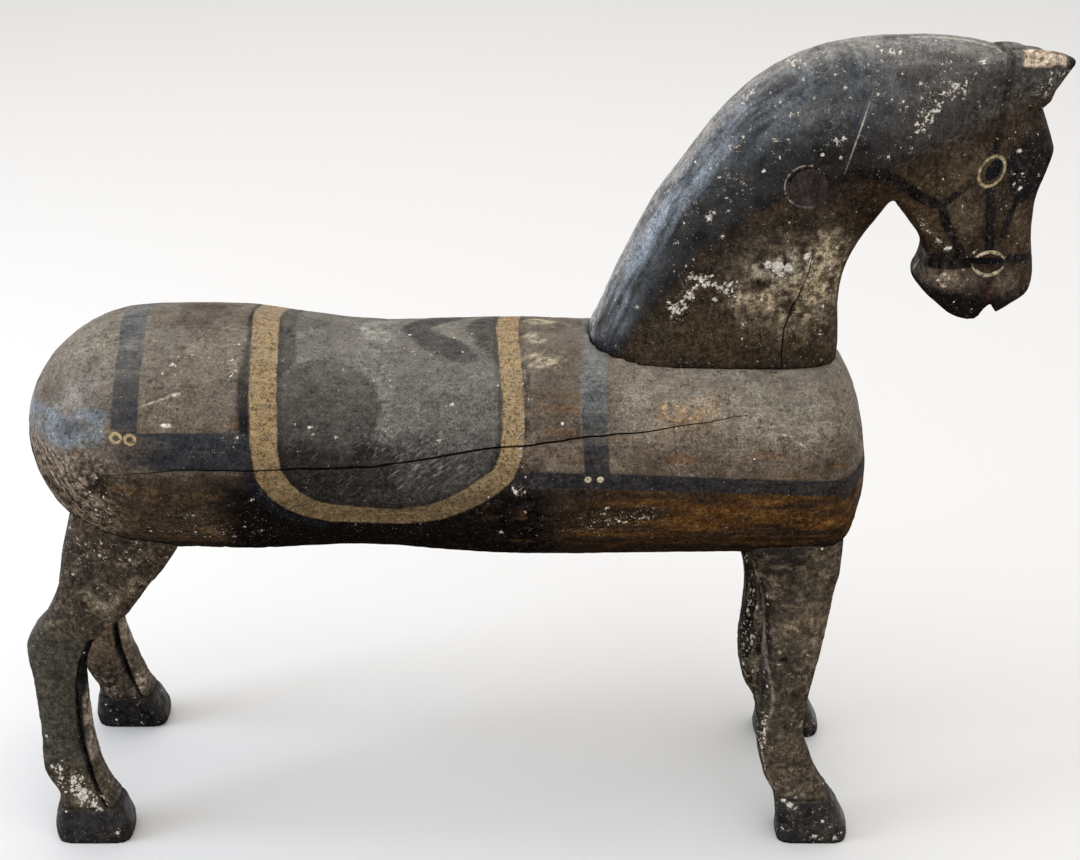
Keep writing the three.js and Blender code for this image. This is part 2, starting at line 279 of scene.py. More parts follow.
def near_box(points, node, reach):
    """1 inside a node's box, falling to 0 at the given reach in millimetres outside it."""
    low, high = box_of(node)
    outside = np.maximum(np.maximum(low - points, points - high), 0)
    return 1 - ramp(np.linalg.norm(outside, axis=1), 0, reach)


def painted(ground, layers):
    """A coat of paint: the ground's colour, and over it each layer as thickly as its amount says.

    A layer is a hex colour, or another coat, with its amount at each point.
    """
    coat = np.array(linear(ground))
    for colour, amount in layers:
        amount = np.clip(amount, 0, 1)[:, None]
        coat = coat * (1 - amount) + (linear(colour) if isinstance(colour, str) else colour) * amount
    return coat


def set_layers(mesh, **layers):
    """Stores numbers or colours for the material to read, at each point or the same all over."""
    for name, values in layers.items():
        kind, field = ("FLOAT_COLOR", "color") if np.ndim(values) == 2 else ("FLOAT", "value")
        if np.ndim(values) == 0:
            values = np.full(len(mesh.vertices), values)
        layer = mesh.attributes.new(name, kind, "POINT")
        layer.data.foreach_set(field, np.clip(values, -99, 99).astype(np.float32).ravel())


def flakes_along(line, count, spread, radii, seed):
    """Places flakes by chance beside a line, most of them small, each as x, y and radius."""
    chance = np.random.default_rng(seed)
    line = np.array(line, float)
    place = chance.uniform(0, len(line) - 1, count)
    middles = np.stack([np.interp(place, range(len(line)), line[:, axis]) for axis in (0, 1)], axis=1)
    sizes = radii[0] + (radii[1] - radii[0]) * chance.random(count) ** 3
    return np.column_stack([middles + chance.normal(0, 1, (count, 2)) * spread, sizes])


def inside_flakes(points, clusters, singles=(), stretch=1.0):
    """How far each flat point lies inside the nearest flake. Outside them the value is below 0.

    A cluster holds what flakes_along asks for, and a single flake its x, y and radius.
    """
    deepest = np.full(len(points), -9.0)
    for x, y, radius in itertools.chain(singles, *[flakes_along(*cluster) for cluster in clusters]):
        reach = np.hypot((points[:, 0] - x) / stretch, points[:, 1] - y)
        deepest = np.maximum(deepest, radius - reach)
    return deepest


def drying_crack(piece, centres, outwards, across, width, depth):
    """Cuts a thin wedge along a row of points. Outwards and across give each section's directions.

    The crack is a quarter as wide at its ends as in its middle. The wedge starts a little above the
    surface, so that it cuts cleanly through it.
    """
    bm = bmesh.new()
    above = 2.0
    loops = []
    for i, (centre, out, side) in enumerate(zip(centres, outwards, across)):
        open_share = math.sin(math.pi * (i + 0.35) / (len(centres) - 0.3))
        half = width / 2 * (0.25 + 0.75 * open_share) * (1 + above / depth)
        made = bmesh.ops.create_circle(bm, segments=3, radius=1.0, cap_ends=False)["verts"]
        top = centre + above * out
        corners = (top + half * side, top - half * side, centre - depth * out)
        for vertex, corner in zip(made, corners):
            vertex.co = corner * MM
        loops.append([edge for edge in bm.edges if edge.verts[0] in made])
    for first, second in zip(loops, loops[1:]):
        bmesh.ops.bridge_loops(bm, edges=first + second)
    for end in (loops[0], loops[-1]):
        bmesh.ops.contextual_create(bm, geom=end)
    bmesh.ops.recalc_face_normals(bm, faces=bm.faces)
    wedge = bpy.data.objects.new("wedge", bpy.data.meshes.new("wedge"))
    bm.to_mesh(wedge.data)
    bm.free()
    scene.collection.objects.link(wedge)
    cut = piece.modifiers.new("crack", "BOOLEAN")
    cut.operation = "DIFFERENCE"
    cut.solver = "MANIFOLD"
    cut.object = wedge
    settle(piece)
    bpy.data.meshes.remove(wedge.data)


def surface_points(piece, origins, directions):
    """Where lines from the origins first meet the piece, in millimetres."""
    tree = BVHTree.FromObject(piece, bpy.context.evaluated_depsgraph_get())
    found = []
    for origin, direction in zip(origins, directions):
        hit, _, _, _ = tree.ray_cast(Vector(origin) * MM, Vector(direction))
        found.append(hit / MM)
    return found


leg_nodes = ("front_leg_right", "front_leg_left", "rear_leg_right", "rear_leg_left")
trunk = carved_copy("trunk", voxel=2.42)
trunk_axis = 345.0  # height of the log's axis, in millimetres
trunk_radius = 96.0


def round_the_log(points):
    """Unrolls the log: the way along it, and the way round it from the ridge of the back."""
    turn = np.arctan2(np.abs(points[:, 1]), points[:, 2] - trunk_axis)
    way_round = trunk_radius * turn
    level = trunk_radius * math.pi / 2 - (points[:, 2] - trunk_axis)
    past_chest = ramp(points[:, 0], 236, 262)
    past_rump = 1 - ramp(points[:, 0], -376, -340)
    past_end = np.maximum(past_chest, past_rump)
    return np.stack([points[:, 0], way_round + (level - way_round) * past_end], axis=1)


def at_low_rump(along, way_round):
    """1 on the lower slope of the rump, 0 elsewhere."""
    return (1 - ramp(along, -328, -292)) * ramp(way_round, 112, 128) * (1 - ramp(way_round, 198, 216))


points = read_points(trunk.data)
touching = sum(near_box(points, node, reach=6) for node in leg_nodes)
touching = np.clip(touching + near_box(points, "neck_and_head", reach=5), 0, 1)
points = rub_down(trunk.data, points, passes=22, strength=1 - 0.94 * touching)
write_points(trunk.data, points, "trunk")
normals = read_points(trunk.data, "normal")
along, way_round = round_the_log(points).T
# The drawknife leaves long shallow flats along the log, and the gouge short dips. The rump's low end
# is worn down a little further, and the belly behind it is left rough.
lengthwise = points * (0.3, 1, 1)
cut_depth = 0.3 + 0.9 * unevenness(lengthwise, 38, 1) + 0.4 * unevenness(lengthwise, 13, 2)
cut_depth = np.maximum(cut_depth, 0) + 0.2 + 0.25 * unevenness(points, 7, 3, 2)
cut_depth += at_low_rump(along, way_round) * (0.3 + 0.3 * unevenness(points, 12, 4, 2))
rough_belly = ramp(way_round, 150, 175) * (1 - ramp(along, -210, -150))
cut_depth += rough_belly * np.maximum(0.9 * unevenness(points, 9, 5, 2), 0)
cut_depth = cut_depth * (1 - touching)
write_points(trunk.data, points - normals * cut_depth[:, None], "trunk")

# The long drying crack of each flank, in millimetres along the log and round it.
flank_crack = [
    (-322, 137), (-285, 133), (-253, 130), (-198, 131), (-148, 131), (-109, 130), (-70, 123),
    (-31, 116), (8, 112), (52, 106), (92, 102), (135, 96), (176, 88),
]
stations = np.linspace(flank_crack[0][0], flank_crack[-1][0], 46)
turns = np.interp(stations, *zip(*flank_crack)) / trunk_radius
wander = unevenness(np.outer(stations, (1, 0, 0)), size=11, seed=6) * 0.8 / trunk_radius
# On the right side it runs the whole way, and on the left side only part of it.
for side, reach in ((-1, slice(None)), (1, slice(9, 30))):
    outwards = [Vector((0, side * math.sin(a), math.cos(a))) for a in (turns + wander)[reach]]
    origins = [(x, 0, trunk_axis) for x in stations[reach]]
    centres = surface_points(trunk, origins, outwards)
    across = [Vector((0, -side * out.z, side * out.y)) for out in outwards]
    drying_crack(trunk, centres, outwards, across, width=1.9, depth=9.0)

points = read_points(trunk.data)
normals = read_points(trunk.data, "normal")
unrolled = round_the_log(points)
along, way_round = unrolled.T
clouds = unevenness(points, 50, 11, 3)
mottles = unevenness(points, 15, 12, 3)
streaks = unevenness(points * (0.14, 1, 1), 7, 13, 3)
crumbs = unevenness(points, 7, 14, 2)

# The saddle cloth's outer edge, from the ridge of the back down behind, under and up in front.
saddle_edge = [
    (-211, -60), (-210, -13), (-205, 40), (-204, 79), (-203, 101), (-203, 115), (-200, 138),
    (-191, 154), (-180, 167), (-165, 178), (-147, 185), (-120, 188), (-92, 189), (-60, 181), (-29, 162),
    (-12, 149), (-2, 139), (4, 122), (6, 100), (6, 77), (3, 42), (-1, -13), (-1, -60),
]
into_saddle = inside_distance(unrolled, saddle_edge)
border_width = np.interp(along, (-190, -60, 0), (21.5, 18.5, 17.5))
border = np.minimum(into_saddle, border_width - into_saddle)
on_cloth = ramp(into_saddle, 4, 12)

# Strap middle lines with half their width.
straps = [
    ([(-303, -40), (-302, -10), (-297, 33), (-297, 65), (-298, 103)], 10.0),
    ([(-306, 117), (-240, 117), (-196, 117)], 14.0),
    ([(60, -40), (60, 30), (58, 60), (59, 100), (61, 133)], 9.5),
    ([(0, 140), (63, 141), (140, 145.5), (217, 149.5), (330, 152)], 6.8),
]
strap = np.max([half - line_distance(unrolled, line) for line, half in straps], axis=0)
strap = np.minimum(strap, -into_saddle - 0.5)

# The cloth: light grey, darker clouds, loose dark brush strokes on the back, and painted shade below, near
# black.
dark_cloud = [
    (-200, 63), (-181, 63), (-170, 48), (-149, 40), (-127, 47), (-108, 64), (-104, 87), (-111, 109),
    (-90, 120), (-95, 150), (-200, 150),
]
front_shade = [(-46, -60), (-45, -4), (-29, 28), (-14, 50), (-4, 50), (-4, -60)]
leaf = [
    (-98, -60), (-94, -1), (-77, 26), (-58, 39), (-40, 46), (-29, 43), (-33, 34), (-44, 21), (-63, 8),
    (-80, -12),
]
light_leaf = [(-126, -3), (-116, -8), (-101, 5), (-94, 18), (-107, 22), (-120, 16)]
rear_strip = [(-200, -60), (-177, -60), (-176, -9), (-170, 46), (-181, 63), (-200, 63)]
# The last number of a stroke is how free of dust it has stayed.
strokes = []
dusted = np.ones(len(points))
for outline, tint, amount, clean in (
    (dark_cloud, "#403d39", 0.86, 0.1),
    (front_shade, "#3d3b38", 0.9, 0.5),
    (leaf, "#3b3938", 0.97, 0.5),
    (light_leaf, "#918e85", 0.75, 0.0),
    (rear_strip, "#3d3b39", 0.93, 0.35),
):
    stroke = ramp(inside_distance(unrolled, outline) + 0.7 * mottles, -0.7, 0.9)
    strokes.append((tint, stroke * amount))
    dusted = dusted * (1 - clean * stroke * (into_saddle > 0))
# Painted shade: the cloth's lower part darkens to near black.
painted_low_shade = ramp(way_round + 9 * mottles, 96, 126) * (0.95 - 0.4 * patch(unrolled, (-62, 128), (50, 26)))
cloth = painted("#696660", [
    ("#53514c", 0.2 + 0.8 * clouds),
    ("#77736a", ramp(mottles, 0.2, 1.0) * 0.5),
    *strokes,
    ("#53514c", patch(unrolled, (-30, 84), (30, 30)) * 0.6),
    ("#211d1b", painted_low_shade),
])

# Where the coat round the cloth and the straps is darker, rusty or worn.
back_cloud = patch(unrolled, (-247, 13), (23, 20)) * ramp(mottles, -1.6, -0.2)
below_band = ramp(way_round, 122, 142) * (1 - ramp(along, 0, 20))
rusty = ramp(way_round + 1.0 * crumbs, 145, 148) * (along > 0)
beneath = ramp(-into_saddle, -3, 1) * ramp(way_round, 128, 150)
beneath = beneath * (1 - ramp(along, 10, 40)) * ramp(along, -250, -215)
dark_width = 4 + 6 * ramp(way_round, 25, 75)
past_shadow = ramp(-into_saddle + 1.5 * mottles - dark_width, -2.5, 0.5)
behind_border = ramp(-into_saddle, -1, 0.5) * (1 - past_shadow)
behind_border = behind_border * (along < -150) * np.clip(0.85 + 0.3 * mottles, 0, 1)
low_rump = at_low_rump(along, way_round)
over_back = 1 - ramp(way_round, 20, 90)
# Bluish remains of the rear strap round the rump.
rump_stain = [
    (-400, 110), (-376, 102), (-366, 91), (-355, 84), (-333, 82), (-312, 88), (-308, 103), (-314, 113),
    (-339, 115), (-363, 121), (-400, 126),
]
bare_corner = [(-360, 103), (-345, 89), (-322, 96), (-326, 102), (-352, 106)]
stained = ramp(inside_distance(unrolled, rump_stain) + 3 * mottles, -2, 4)
# Sprays of pale leaves in front of the saddle, and dark specks beside its border.
leaf_sprays = [
    [(5, 15), (14, 7), (28, 13), (15, 22), (8, 18)],
    [(5, 42), (15, 36), (28, 43), (17, 49), (9, 46)],
    [(9, -12), (20, -24)],
]
nearest = np.min([line_distance(unrolled, line) for line in leaf_sprays], axis=0)
nearest = np.maximum(nearest + 1.6 * mottles + 1.2 * crumbs, 0)
border_line = [(8, 30), (8, 60), (6, 85), (4, 110), (3, 125)]
beside_border = inside_flakes(unrolled, [(border_line, 70, (1.6, 4), (0.6, 1.8), 61)])

coat = painted("#675c50", [
    ("#574838", 0.25 + 0.9 * clouds),
    ("#483c31", 0.2 + 0.9 * mottles),
    ("#6b4a2c", ramp(streaks + 0.5 * clouds, 0.2, 0.9) * ramp(way_round, 50, 100) * 0.5),
    ("#857f72", patch(unrolled, (-345, 20), (60, 60)) * 0.6),
    ("#8a7f70", patch(unrolled, (-238, 36), (34, 26)) * ramp(mottles, -1.2, 0.6) * 0.6),
    ("#857c6f", ramp(along, 62, 90) * (1 - ramp(way_round, 85, 135)) * (0.75 + 0.3 * mottles)),
    ("#3b3029", back_cloud * 0.85),
    # The straps' lower halves, the belly and all below the saddle keep most of their dark brown, and
    # painted shade darkens them further, to near black on the belly and below the saddle.
    ("#31271d", below_band * 0.9),
    ("#5a4630", below_band * ramp(crumbs + streaks, 0.4, 1.2) * (1 - ramp(along, -220, -190)) * 0.7),
    ("#271c13", rusty * 0.95),
    ("#573a1c", rusty * ramp(streaks, -0.6, 0.9) * ramp(along, 20, 80) * 0.85),
    ("#795832", rusty * ramp(streaks + crumbs, 0.8, 1.5) * ramp(along, 60, 120) * 0.6),
    # Painted shade under the belly.
    ("#120f0c", ramp(way_round, 190, 222) * 0.75),
    ("#0d0a09", beneath * 0.95),
    ("#3a2919", beneath * ramp(streaks + crumbs, 0.5, 1.3) * ramp(along, -60, 0) * 0.7),
    ("#17181c", behind_border),
    ("#6b5d4e", low_rump * ramp(mottles, -1.0, 0.4) * 0.8),
    ("#2b221c", low_rump * ramp(crumbs - mottles, 0.3, 1.1) * 0.6),
    ("#6b7276", stained * ramp(crumbs + mottles, -1.5, 0.2) * 0.9),
    ("#3b3e40", ramp(inside_distance(unrolled, bare_corner) + 2 * mottles, -2, 2) * 0.6),
    # Where the straps are rubbed thin, a grey-blue stain is left.
    ("#6b6f6f", ramp(strap, -1, 1) * (along > 0) * (1 - ramp(way_round, 80, 125)) * 0.9),
    ("#6f7274", ramp(strap, -1, 1) * (along < -200) * over_back * 0.9),
    (cloth, on_cloth),
    # Grime lies along both edges of the border.
    ("#211c18", fade(into_saddle - border_width - 1, 1.9) * 0.7),
    ("#15110f", fade(into_saddle + 1, 1.6) * ramp(mottles + crumbs, -0.8, 0.4) * 0.7),
    # Scuffs on the shoulder and beside the saddle's front border, where an older pale coat shows.
    ("#a07f59", patch(unrolled, (132, 86), (24, 15)) * ramp(crumbs + 0.3 * clouds, -0.2, 0.8) * 0.6),
    ("#8d8374", patch(unrolled, (205, 100), (26, 14)) * ramp(crumbs + mottles, 0.2, 1.0) * 0.5),
    ("#bfb194", fade(nearest, 1.5) * 0.75),
    ("#c2b598", patch(unrolled, (13, 13), (8, 4.5)) * ramp(crumbs, -0.6, 0.5) * 0.8),
    ("#c2b598", patch(unrolled, (14, 42), (8, 4.5)) * ramp(crumbs, -0.6, 0.5) * 0.8),
    ("#110e0c", ramp(beside_border, -0.6, 0.4) * 0.85),
])

# Flakes of the chalk ground on the right flank, and others on the left one.
right_flakes = [
    (-50, 81, 1.9), (-46, 86, 1.2), (-37, 88, 1.2), (-32, 101, 1.3), (-60, 109, 1.7), (-43, 112, 1.0),
    (-180, 47, 1.5), (-158, 99, 2.0), (-156, 104, 1.2), (-138, 106, 1.3), (-13, 193, 1.6),
    (-303, 46, 1.0), (-265, 54, 1.2), (-254, 48, 1.1), (-241, 47, 1.2), (-270, 60, 1.1),
    (-242, 65, 1.3), (-220, 63, 1.3), (138, 118, 1.2), (-204, 156, 1.3), (-197, 151, 1.1),
    (-223, 200, 1.5), (-201, 192, 1.5), (163, 189, 1.2),
]
right_clusters = [
    ([(-165, 44), (-137, 42)], 5, (2, 1), (0.6, 1.0), 62),
    ([(-105, 28), (-66, 32)], 12, (2, 2), (0.5, 1.0), 63),
    ([(-217, 30), (-219, 66)], 22, (4, 3), (0.5, 1.2), 64),
    ([(-215, 108), (-245, 120)], 12, (4, 3), (0.5, 1.1), 65),
    ([(6, 50), (5, 80), (3, 105), (2, 124)], 46, (1.4, 4), (0.5, 1.2), 66),
    ([(-4, 152), (8, 150)], 14, (2, 3), (0.8, 1.7), 67),
    ([(-335, 150), (-320, 195)], 26, (10, 6), (0.5, 1.3), 68),
    ([(-150, 60), (-40, 70)], 40, (12, 22), (0.4, 0.9), 69),
    ([(-240, 180), (250, 185)], 34, (8, 14), (0.4, 1.0), 70),
    ([(-272, 58), (-254, 48), (-222, 50)], 26, (5, 5), (0.6, 1.3), 74),
    ([(-263, 171), (-245, 173), (-228, 200)], 14, (4, 2), (0.5, 1.3), 73),
]
drawn_out_cluster = ([(45, 192), (72, 181), (92, 175), (110, 172)], 52, (9, 5), (0.4, 1.2), 72)
left_cluster = ([(-340, 70), (240, 80)], 140, (10, 45), (0.5, 1.4), 71)
on_right = inside_flakes(unrolled, right_clusters, right_flakes)
on_right = np.maximum(on_right, inside_flakes(unrolled, [drawn_out_cluster], stretch=1.7))
flake = np.where(points[:, 1] < 0, on_right, inside_flakes(unrolled, [left_cluster]))

worn = 0.14 + 0.06 * clouds + patches(unrolled, [
    ((9, 70), (5, 60), 0.4),
    ((75, 176), (34, 8), 0.5),
    ((-250, 190), (50, 18), 0.45),
    ((-325, 170), (22, 34), 0.5),
    ((-100, 100), (80, 30), 0.12),
])
dusted = dusted * (1 - 0.8 * behind_border) * (1 - 0.5 * back_cloud)
dusted = dusted * (1 - 0.7 * patch(unrolled, (-2, 15), (10, 45)))
dust = (1 - ramp(way_round, 15, 128)) * (0.8 + 0.25 * clouds) * dusted
# The bands are darker towards the bottom of the log.
soil = ramp(way_round, 100, 170)
# The straps are rubbed thin where they cross the back and the rump, and so is the rear band towards
# its end. The chest band keeps more of its colour near the girth.
faded = np.where(np.abs(along - 60) < 14, 1.35 * (1 - ramp(way_round, 64, 130)), 0)
faded = faded + np.where(np.abs(along + 301) < 16, 1.1 * (1 - ramp(way_round, -10, 84)), 0)
rear_band = (way_round > 100) & (into_saddle < 0)
faded = faded + np.where((along < -200) & rear_band, 1.7 * (1 - ramp(along, -318, -248)) - 0.3, 0)
faded = faded - 0.7 * patch(unrolled, (105, 146), (50, 14))
scratched = patch(unrolled, (-88, 126), (58, 27)) * ramp(clouds + 2 * mottles, -1.0, 0.5)
scrubbed = 0.85 * low_rump + 0.3 * below_band + 0.35 * rusty + 0.5 * beneath * ramp(along, -60, 0)
facing_up = ramp(normals[:, 2], -0.3, 0.4)
varnish = facing_up * (0.25 + 0.35 * patch(unrolled, (-362, 100), (40, 40)))

set_layers(
    trunk.data,
    border=border - 0.6,
    strap=strap,
    worn=worn,
    dust=dust,
    soil=soil,
    faded=faded,
    scratched=scratched,
    flake=flake,
    varnish=varnish,
    rings=low_rump + 0.25 * (1 - ramp(along, -356, -322)),
    scrubbed=scrubbed,
    coat=coat,
)


def old_paint(name, bands, marks, grain):
    """Worn oil paint on a white chalk ground on bare wood: matt, broken up and dusty to the eye.

    The coat's colour and how worn, dusty, scratched and glossy it is are read from the piece, and so
    is how much darker its bands are low down and how faded where they are rubbed. Bands are painted
    areas with a hand-drawn edge, as (layer, colour, second colour, how gritty). Marks are drawn rings
    or filled ovals on the flanks, as (x and z of the centre, radii, tilt, half line width or None,
    colour, fullness, on both sides). Grain is how much each axis is drawn out along the wood.
    """
    material, add = new_material(name)
    place = add("TexCoord").outputs["Object"]
    drawn_out = add("Mapping", {"Vector": place, "Scale": grain})
    slant = add("Mapping", {"Vector": place, "Rotation": (0, math.radians(38), 0)})
    slant = add("Mapping", {"Vector": slant, "Scale": (0.2, 1.0, 1.0)})
    # Chance patterns, each with the size of its blotches in millimetres, its detail and its roughness.
    noise = {
        "fine": (place, 1.5, 4.0, 0.7),
        "blotches": (place, 14.0, 6.0, 0.68),
        "speckle": (place, 3.4, 5.0, 0.65),
        "grain": (drawn_out, 2.4, 3.0, 0.65),
        "brushed": (drawn_out, 8.0, 5.0, 0.65),
        "dabs": (place, 4.6, 5.0, 0.62),
        "pits": (place, 4.2, 5.0, 0.72),
        "shake": (place, 2.0, 2.0, 0.55),
        "salt": (place, 1.15, 1.0, 0.55),
        "chalk": (place, 2.6, 3.0, 0.55),
        "scratches": (slant, 2.2, 4.0, 0.7),
        "dust": (place, 24.0, 5.0, 0.65),
    }
    for pattern, (vector, size, detail, roughness) in noise.items():
        inputs = {"Vector": vector, "Scale": 1000 / size, "Detail": detail, "Roughness": roughness}
        noise[pattern] = add("TexNoise", inputs)
    layer = {
        key: add("Attribute", attribute_name=key).outputs["Fac"]
        for key in ("worn", "dust", "soil", "faded", "scratched", "flake", "varnish", "rings", "scrubbed")
    }
    colour = add("Attribute", attribute_name="coat").outputs["Color"]

    # A band's edge wavers by a millimetre or two, and its paint is darker low down and thin in places.
    ragged = -3.1
    for pattern, reach in (("blotches", 3.6), ("fine", 2.6)):
        ragged = add("Math", (noise[pattern], reach, ragged), operation="MULTIPLY_ADD")
    rubbed = add("Math", (layer["faded"], 0.24, noise["brushed"]), operation="MULTIPLY_ADD")
    thickness = add("MapRange", (rubbed, 0.52, 0.88, 1.0, 0.1))
    for attribute, first, second, grit in bands:
        edge = add("Math", (add("Attribute", attribute_name=attribute).outputs["Fac"], ragged))
        amount = add("MapRange", (edge, -0.6, 0.6, 0.0, thickness))
        shading = add("MapRange", (noise["speckle"], 0.42, 0.62))
        tint = add("Mix", {0: shading, 6: linear(first), 7: linear(second)}, data_type="RGBA")
        for dark_tint, pattern, low, high, most in (
            ("#2a2119", layer["soil"], 0.0, 1.0, 0.6),
            ("#2b2018", noise["fine"], 0.48, 0.6, grit),
            ("#1c1612", noise["speckle"], 0.56, 0.64, 0.7),
            ("#3a2c1c", noise["blotches"], 0.5, 0.64, max(grit - 0.5, 0.0)),
        ):
            soiled = add("MapRange", (pattern, low, high, 0.0, most))
            tint = add("Mix", {0: soiled, 6: tint, 7: linear(dark_tint)}, data_type="RGBA")
        colour = add("Mix", {0: amount, 6: colour, 7: tint}, data_type="RGBA")

    # A mark's line wavers too, and is as broken as its fullness leaves it.
    parts = add("SeparateXYZ", (place,)).outputs
    flat = add("CombineXYZ", {"X": parts["X"], "Z": parts["Z"]})
    right_side = add("Math", (parts["Y"], 0.0), operation="LESS_THAN")
    waver = add("Math", (noise["fine"], 1.6, -0.8), operation="MULTIPLY_ADD")
    for centre, radii, tilt, half_line, tint, fullness, both_sides in marks:
        inputs = {"Vector": flat, "Location": Vector((centre[0], 0, centre[1])) * MM}
        inputs["Rotation"] = (0, math.radians(tilt), 0)
        inputs["Scale"] = (radii[0] * MM, 1.0, radii[1] * MM)
        turned = add("Mapping", inputs, vector_type="TEXTURE")
        reach = add("VectorMath", (turned,), operation="LENGTH").outputs["Value"]
        reach = add("Math", (reach, min(radii), -min(radii)), operation="MULTIPLY_ADD")
        if half_line:
            reach = add("Math", (reach,), operation="ABSOLUTE")
            reach = add("Math", (reach, half_line), operation="SUBTRACT")
        reach = add("Math", (reach, waver))
        side = 1.0 if both_sides else right_side
        cover = add("MapRange", (noise["speckle"], 0.6 - fullness, 0.7 - fullness, 0.0, side))
        amount = add("MapRange", (reach, 0.3, -0.3, 0.0, cover))
        colour = add("Mix", {0: amount, 6: colour, 7: linear(tint)}, data_type="RGBA")

    # The paint lies thicker and thinner under the brush, and the grain shows through it. Where the
    # coat is scrubbed it lies in small light and dark dabs.
    dabs = add("MapRange", (noise["dabs"], 0.44, 0.57, -0.5, 0.85))
    tone = add("Math", (dabs, layer["scrubbed"], 1.0), operation="MULTIPLY_ADD")
    for pattern, contrast in (("blotches", 0.34), ("fine", 0.65), ("grain", 0.24), ("speckle", 0.44)):
        shading = add("MapRange", (noise[pattern], 0.3, 0.7, 1 - contrast, 1 + contrast))
        tone = add("Math", (tone, shading), operation="MULTIPLY")
    colour = add("VectorMath", {0: colour, 3: tone}, operation="SCALE").outputs["Vector"]

    # Where the end of the log is worn, its growth rings show as fine ridges and furrows. The wave's
    # scale puts them 4.6 mm apart, which is coarser than in real wood, so that they show.
    centred = add("Mapping", {"Vector": place, "Location": (0, 0, -318 * MM)})
    inputs = {"Vector": centred, "Scale": 68.0, "Distortion": 8.0, "Detail": 4.0, "Detail Scale": 0.8}
    wave = add("TexWave", inputs, wave_type="RINGS", rings_direction="X")
    laid_bare = add("MapRange", (noise["blotches"], 0.38, 0.6, 0.15, 1.0))
    laid_bare = add("Math", (layer["rings"], laid_bare), operation="MULTIPLY")
    rings = add("Math", (wave, laid_bare), operation="MULTIPLY")
    broken = add("MapRange", (noise["speckle"], 0.4, 0.6, 0.1, 0.8))

    # Flaking: the chalk ground shows where the paint has lifted, and bare wood round its rims.
    tints = {0: noise["grain"], 6: linear("#3f3022"), 7: linear("#77603f")}
    wood = add("Mix", tints, data_type="RGBA")
    lifted = add("Math", (layer["worn"], 0.2, noise["speckle"]), operation="MULTIPLY_ADD")
    flaked = -5.2
    for pattern, share in ((noise["speckle"], 6.0), (noise["fine"], 4.0), (layer["flake"], 1.0)):
        flaked = add("Math", (pattern, share, flaked), operation="MULTIPLY_ADD")
    # Small chips and crumbs of the same chalk, a millimetre or two across.
    shaken = (noise["shake"].outputs["Color"], (2.2 * MM,) * 3, place)
    shaken = add("VectorMath", shaken, operation="MULTIPLY_ADD")
    chips = add("TexVoronoi", {"Vector": shaken, "Scale": 1000 / 7.0, "Randomness": 1.0})
    pick = add("SeparateColor", {"Color": chips.outputs["Color"]}).outputs
    share = add("Math", (layer["worn"], 0.5, -0.04), operation="MULTIPLY_ADD")
    chosen = add("Math", (pick[0], share), operation="LESS_THAN")
    spread = add("Math", (pick[1], -0.19, chips.outputs["Distance"]), operation="MULTIPLY_ADD")
    near_flakes = add("MapRange", (layer["flake"], -4.0, 0.0, 0.0, 0.1))
    dotted = add("Math", (noise["salt"], near_flakes))
    salted = add("MapRange", (layer["worn"], 0.0, 0.6, 0.3, 0.9))
    white = 0.0
    for pattern, low, high, most in (
        (lifted, 0.735, 0.76, 1.0),
        (flaked, -0.15, 0.15, 1.0),
        (spread, 0.03, 0.0, chosen),
        (dotted, 0.72, 0.77, salted),
    ):
        amount = add("MapRange", (pattern, low, high, 0.0, most))
        white = add("Math", (white, amount), operation="MAXIMUM")
    tints = {0: add("MapRange", (noise["chalk"], 0.36, 0.56)), 6: linear("#8a8274"), 7: linear("#dbd5ca")}
    chalk = add("Mix", tints, data_type="RGBA")

    # What lies over the paint, from the lowest: dirt in the pits, the rings' furrows and ridges, bare
    # wood, chalk, fine slanting scratches, and dust on what faces up.
    pits = add("MapRange", (noise["pits"], 0.57, 0.66))
    for tint, pattern, low, high, most, where in (
        (linear("#15110f"), pits, 0.0, 1.0, 0.6, 1.0),
        (linear("#1f1915"), wave, 0.5, 0.1, 0.45, laid_bare),
        (linear("#9c907e"), rings, 0.5, 1.0, 1.0, broken),
        (wood, lifted, 0.68, 0.73, 0.5, 1.0),
        (wood, flaked, -1.1, -0.2, 0.35, 1.0),
        (chalk, white, 0.0, 1.0, 1.0, 1.0),
        (linear("#171312"), noise["scratches"], 0.48, 0.38, 0.7, layer["scratched"]),
        (linear("#9a8f8a"), noise["scratches"], 0.54, 0.66, 0.85, layer["scratched"]),
        (linear("#827c72"), noise["dust"], 0.3, 0.65, 0.6, layer["dust"]),
    ):
        amount = add("MapRange", (pattern, low, high, 0.0, most))
        amount = add("Math", (amount, where), operation="MULTIPLY")
        colour = add("Mix", {0: amount, 6: colour, 7: tint}, data_type="RGBA")

    # The paint is a fraction of a millimetre thick and ends in a low step round each flake.
    height = rings
    for pattern, share in (
        (noise["grain"], 0.6),
        (white, -0.6),
        (noise["fine"], 0.7),
        (noise["blotches"], 1.4),
        (pits, -0.5),
    ):
        height = add("Math", (pattern, share, height), operation="MULTIPLY_ADD")
    relief = add("Bump", {"Strength": 0.9, "Distance": 0.8 * MM, "Height": height})
    polish = add("Bump", {"Strength": 0.45, "Distance": 0.6 * MM, "Height": height})
    gloss = add("MapRange", (noise["blotches"], 0.35, 0.6, 0.3, 1.0))
    varnish = add("Math", (layer["varnish"], gloss), operation="MULTIPLY")
    inputs = {"Base Color": colour, "Roughness": 0.7, "Specular IOR Level": 0.0, "Normal": relief}
    inputs |= {"Coat Weight": varnish, "Coat Roughness": 0.26, "Coat Normal": polish}
    add("OutputMaterial", {"Surface": add("BsdfPrincipled", inputs)})
    return material


